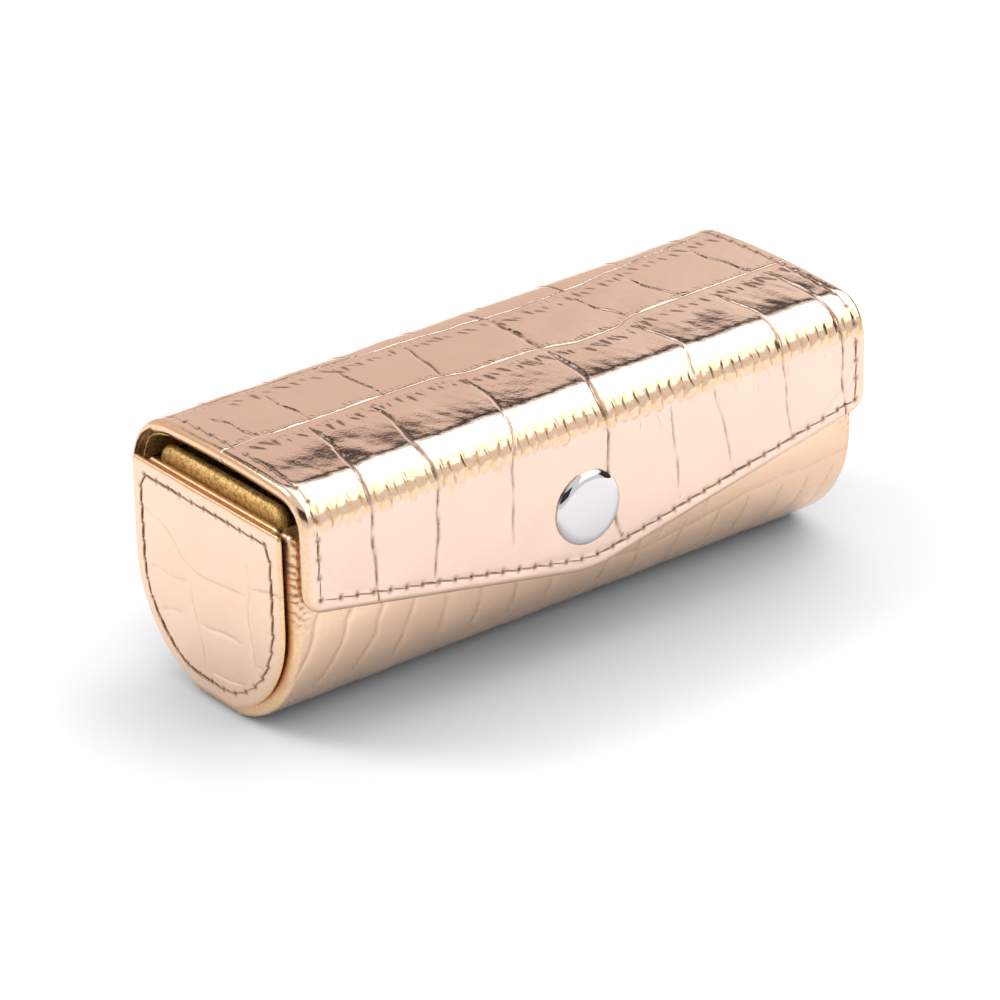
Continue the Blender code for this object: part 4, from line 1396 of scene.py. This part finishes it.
class CASE_OT_press_stud(bpy.types.Operator):
    """The polished domed cap, and the finish of the stud, post, socket and spring."""

    bl_idname = "case.press_stud"
    bl_label = "Press Stud"

    def execute(self, context):
        nickel = plated_metal("polished_nickel_plate", context.scene.case_trim.nickel, 0.035, 0.03)
        # A thin rolled rim, a quarter ellipse for the shoulder, 1.7 mm wide, and a shallow parabola
        # within, turned about the stud's axis.
        lip = np.linspace(-math.pi / 2, math.radians(20), 11)
        turn = np.linspace(math.radians(20), math.radians(84), 29)
        height = FLAP_FACE - CAP_LOW[1]
        rim, low, rise, wide = CAP_R - 0.04, 0.22, height - 0.22 - 0.15, 1.7
        flank = rim - wide * (math.cos(turn[0]) - np.cos(turn))
        inner = np.linspace(flank[-1], 0, 25)[1:-1]
        rolled = CAP_R - 0.22 + 0.22 * np.cos(lip)[:-1]
        radius = np.concatenate([[CAP_R - 1.2], rolled, flank, inner])
        shoulder = low + rise * (np.sin(turn) - math.sin(turn[0])) + 0.06
        crown_out = shoulder[-1] + 0.14 * (1 - (inner / flank[-1]) ** 2)
        out = np.concatenate([[0.02], low + 0.2 * np.sin(lip)[:-1], shoulder, crown_out])
        height = shoulder[-1] + 0.14
        sides = 96
        angle = np.arange(sides) * 2 * math.pi / sides
        points = np.stack([
            SNAP_X + radius[:, None] * np.cos(angle),
            np.broadcast_to((FLAP_FACE - out)[:, None], (len(radius), sides)),
            SNAP_Z + radius[:, None] * np.sin(angle),
        ], axis=-1).reshape(-1, 3)
        index = np.arange(len(radius) * sides).reshape(len(radius), sides)
        wrapped = np.concatenate([index, index[:, :1]], axis=1)
        crown = len(points)
        points = np.concatenate([points, [(SNAP_X, FLAP_FACE - height, SNAP_Z)]])
        last = index[-1]
        fan = np.stack([last, np.roll(last, -1), np.full(sides, crown)], axis=1)
        quads = grid_quads(wrapped)[:, ::-1]
        cap = make_piece("snap_dome", points, [quads, fan, index[:1, ::-1]], nickel)
        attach(cap, "flap")
        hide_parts("snap_cap")
        worn = plated_metal("worn_nickel_plate", context.scene.case_trim.nickel, 0.16, 0.12)
        steel = plated_metal("drawn_spring_steel", linear("#B9BBBE"), 0.25, 0.15)
        for node in ("snap_socket", "snap_stud", "snap_post"):
            dress(node, worn)
        dress("snap_spring", steel)
        return {"FINISHED"}


def dress(node, material):
    """Gives a CAD node one material."""
    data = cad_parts[node].data
    data.materials.clear()
    data.materials.append(material)


class CASE_OT_boards_and_mirror(bpy.types.Operator):
    """The finish of the tray's board and of the mirror."""

    bl_idname = "case.boards_and_mirror"
    bl_label = "Board and Mirror"

    def execute(self, context):
        dress("tray_board", grey_board())
        dress("mirror", silvered_glass())
        return {"FINISHED"}


# The stage. Its sizes are in metres.

FLOOR = 3.0
WALL_Y = 1.2


def flat_card(name, corners, colour, light):
    """A square sheet, in metres, of one even colour that gives light or, at 0, takes it."""
    mesh = bpy.data.meshes.new(name)
    mesh.from_pydata([tuple(c) for c in corners], [], [(0, 1, 2, 3)])
    made, _, shader = new_material(name, {"Roughness": 0.85, "Base Color": rgba(colour)})
    if light:
        shader.inputs["Emission Color"].default_value = rgba(colour)
        shader.inputs["Emission Strength"].default_value = light
    mesh.materials.append(made)
    card = bpy.data.objects.new(name, mesh)
    bpy.context.scene.collection.objects.link(card)
    return card


def reflector(name, corners, colour, light=0.0):
    """A card that is seen only in reflections, as a flag or bounce card beside the lens is."""
    card = flat_card(name, corners, colour, light)
    for ray in ("camera", "diffuse", "shadow", "transmission"):
        setattr(card, f"visible_{ray}", False)
    return card


def upright(a, b, low, high):
    """Corners of a card that stands on the line from a to b, between two heights."""
    return [(*a, low), (*b, low), (*b, high), (*a, high)]


class CASE_OT_stage(bpy.types.Operator):
    """White floor, two soft lights, cards for the reflections and the camera."""

    bl_idname = "case.stage"
    bl_label = "Stage"

    def execute(self, context):
        studio = context.scene.case_studio
        corners = [(-FLOOR, -FLOOR, 0), (FLOOR, -FLOOR, 0), (FLOOR, FLOOR, 0), (-FLOOR, FLOOR, 0)]
        flat_card("floor", corners, studio.floor, 0)
        self.light_room(studio)
        self.place_cards(studio)
        self.place_camera(context, studio)
        context.scene.view_settings.view_transform = "Standard"
        context.scene.cycles.caustics_reflective = False
        return {"FINISHED"}

    def light_room(self, studio):
        world = bpy.data.worlds.new("room")
        bpy.context.scene.world = world
        world.use_nodes = True
        world.node_tree.nodes["Background"].inputs["Color"].default_value = rgba(studio.walls)
        overhead = (0.8, -0.475)
        light = ("overhead_softbox", (*overhead, 0.8), (*overhead, 0), (1.2, 2.05), studio.softbox)
        self.softbox(*light)
        self.softbox("key_softbox", (-0.9, 0.9, 1.3), (0, 0, 0), (0.7, 0.7), studio.key)

    def softbox(self, name, place, target, size, power):
        lamp = bpy.data.lights.new(name, "AREA")
        lamp.shape, lamp.size, lamp.size_y, lamp.energy = "RECTANGLE", *size, power
        box = bpy.data.objects.new(name, lamp)
        box.location = place
        facing = Vector(target) - Vector(place)
        if facing.x or facing.y:
            box.rotation_euler = facing.to_track_quat("-Z", "Y").to_euler()
        box.visible_camera = False
        bpy.context.scene.collection.objects.link(box)

    def place_cards(self, studio):
        """A warm wall behind, and dark cards that give the foil and the dome their dark lines."""
        left, right = (-2, WALL_Y), (4, WALL_Y)
        wall = reflector("wall_card", upright(left, right, 0.0, 1.03), studio.wall_low, 1.0)
        tree = wall.data.materials[0].node_tree
        place = add_node(tree, "ShaderNodeTexCoord").outputs["Object"]
        along = add_node(tree, "ShaderNodeSeparateXYZ", (place,)).outputs[0]
        share = add_node(tree, "ShaderNodeMapRange", (along, 0.9, 1.25, 0.0, 1.0)).outputs[0]
        colours = {0: share, 6: rgba(studio.wall_low), 7: rgba(studio.wall_high)}
        glow = add_node(tree, "ShaderNodeMix", colours, data_type="RGBA").outputs[2]
        shader = tree.nodes["Principled BSDF"]
        feed(tree, shader, {"Emission Color": glow, "Base Color": (0, 0, 0, 1)})
        dark = (0.02, 0.015, 0.012)
        reflector("back_flag", upright(left, right, 1.03, 1.32), dark)
        reflector("right_flag", upright((2.2, -1.5), (2.2, 1.1), 0.0, 1.0), dark)
        reflector("lens_flag", upright((-1.15, -0.2), (-0.25, -0.95), 0.2, 0.85), dark)

    def place_camera(self, context, studio):
        az, el = studio.azimuth, studio.elevation
        back = Vector((math.sin(az) * math.cos(el), -math.cos(az) * math.cos(el), math.sin(el)))
        target = Vector((-0.000123, 0.000095, 0.013658))
        right = Vector((0, 0, 1)).cross(back).normalized()
        up = back.cross(right)
        turned = Matrix((right, up, back)).transposed() @ Matrix.Rotation(studio.roll, 3, "Z")
        camera = bpy.data.objects.new("camera", bpy.data.cameras.new("camera"))
        camera.matrix_world = Matrix.Translation(target + back * studio.distance) @ turned.to_4x4()
        camera.data.lens = studio.lens
        camera.data.sensor_width = 36.0
        camera.data.shift_x, camera.data.shift_y = 0.00128, 0.00483
        camera.data.clip_start, camera.data.clip_end = 0.01, 20.0
        context.scene.collection.objects.link(camera)
        context.scene.camera = camera


class CASE_PT_looks(bpy.types.Panel):
    """Lists the settings and the steps that build the case's looks."""

    bl_idname = "CASE_PT_looks"
    bl_label = "Lipstick Case"
    bl_space_type = "VIEW_3D"
    bl_region_type = "UI"
    bl_category = "Lipstick Case"

    def draw(self, context):
        for name in SETTINGS:
            group = getattr(context.scene, name)
            box = self.layout.box()
            for key in group.bl_rna.properties.keys():
                if key not in ("rna_type", "name"):
                    box.prop(group, key)
        for operator in OPERATORS:
            self.layout.operator(operator.bl_idname)


SETTINGS = {
    "case_leather": LeatherSettings, "case_trim": TrimSettings, "case_studio": StudioSettings,
}
OPERATORS = (
    CASE_OT_tray_leather, CASE_OT_lid_leather, CASE_OT_end_panels, CASE_OT_linings,
    CASE_OT_stitching, CASE_OT_press_stud, CASE_OT_boards_and_mirror, CASE_OT_stage,
)
CLASSES = (*SETTINGS.values(), *OPERATORS, CASE_PT_looks)


def register():
    for cls in CLASSES:
        bpy.utils.register_class(cls)
    for name, group in SETTINGS.items():
        setattr(bpy.types.Scene, name, PointerProperty(type=group))


def unregister():
    for name in SETTINGS:
        delattr(bpy.types.Scene, name)
    for cls in reversed(CLASSES):
        bpy.utils.unregister_class(cls)


def main():
    register()
    bpy.ops.case.tray_leather()
    bpy.ops.case.lid_leather()
    bpy.ops.case.end_panels()
    bpy.ops.case.linings()
    bpy.ops.case.stitching()
    bpy.ops.case.press_stud()
    bpy.ops.case.boards_and_mirror()
    bpy.ops.case.stage()


if __name__ == "__main__":
    main()
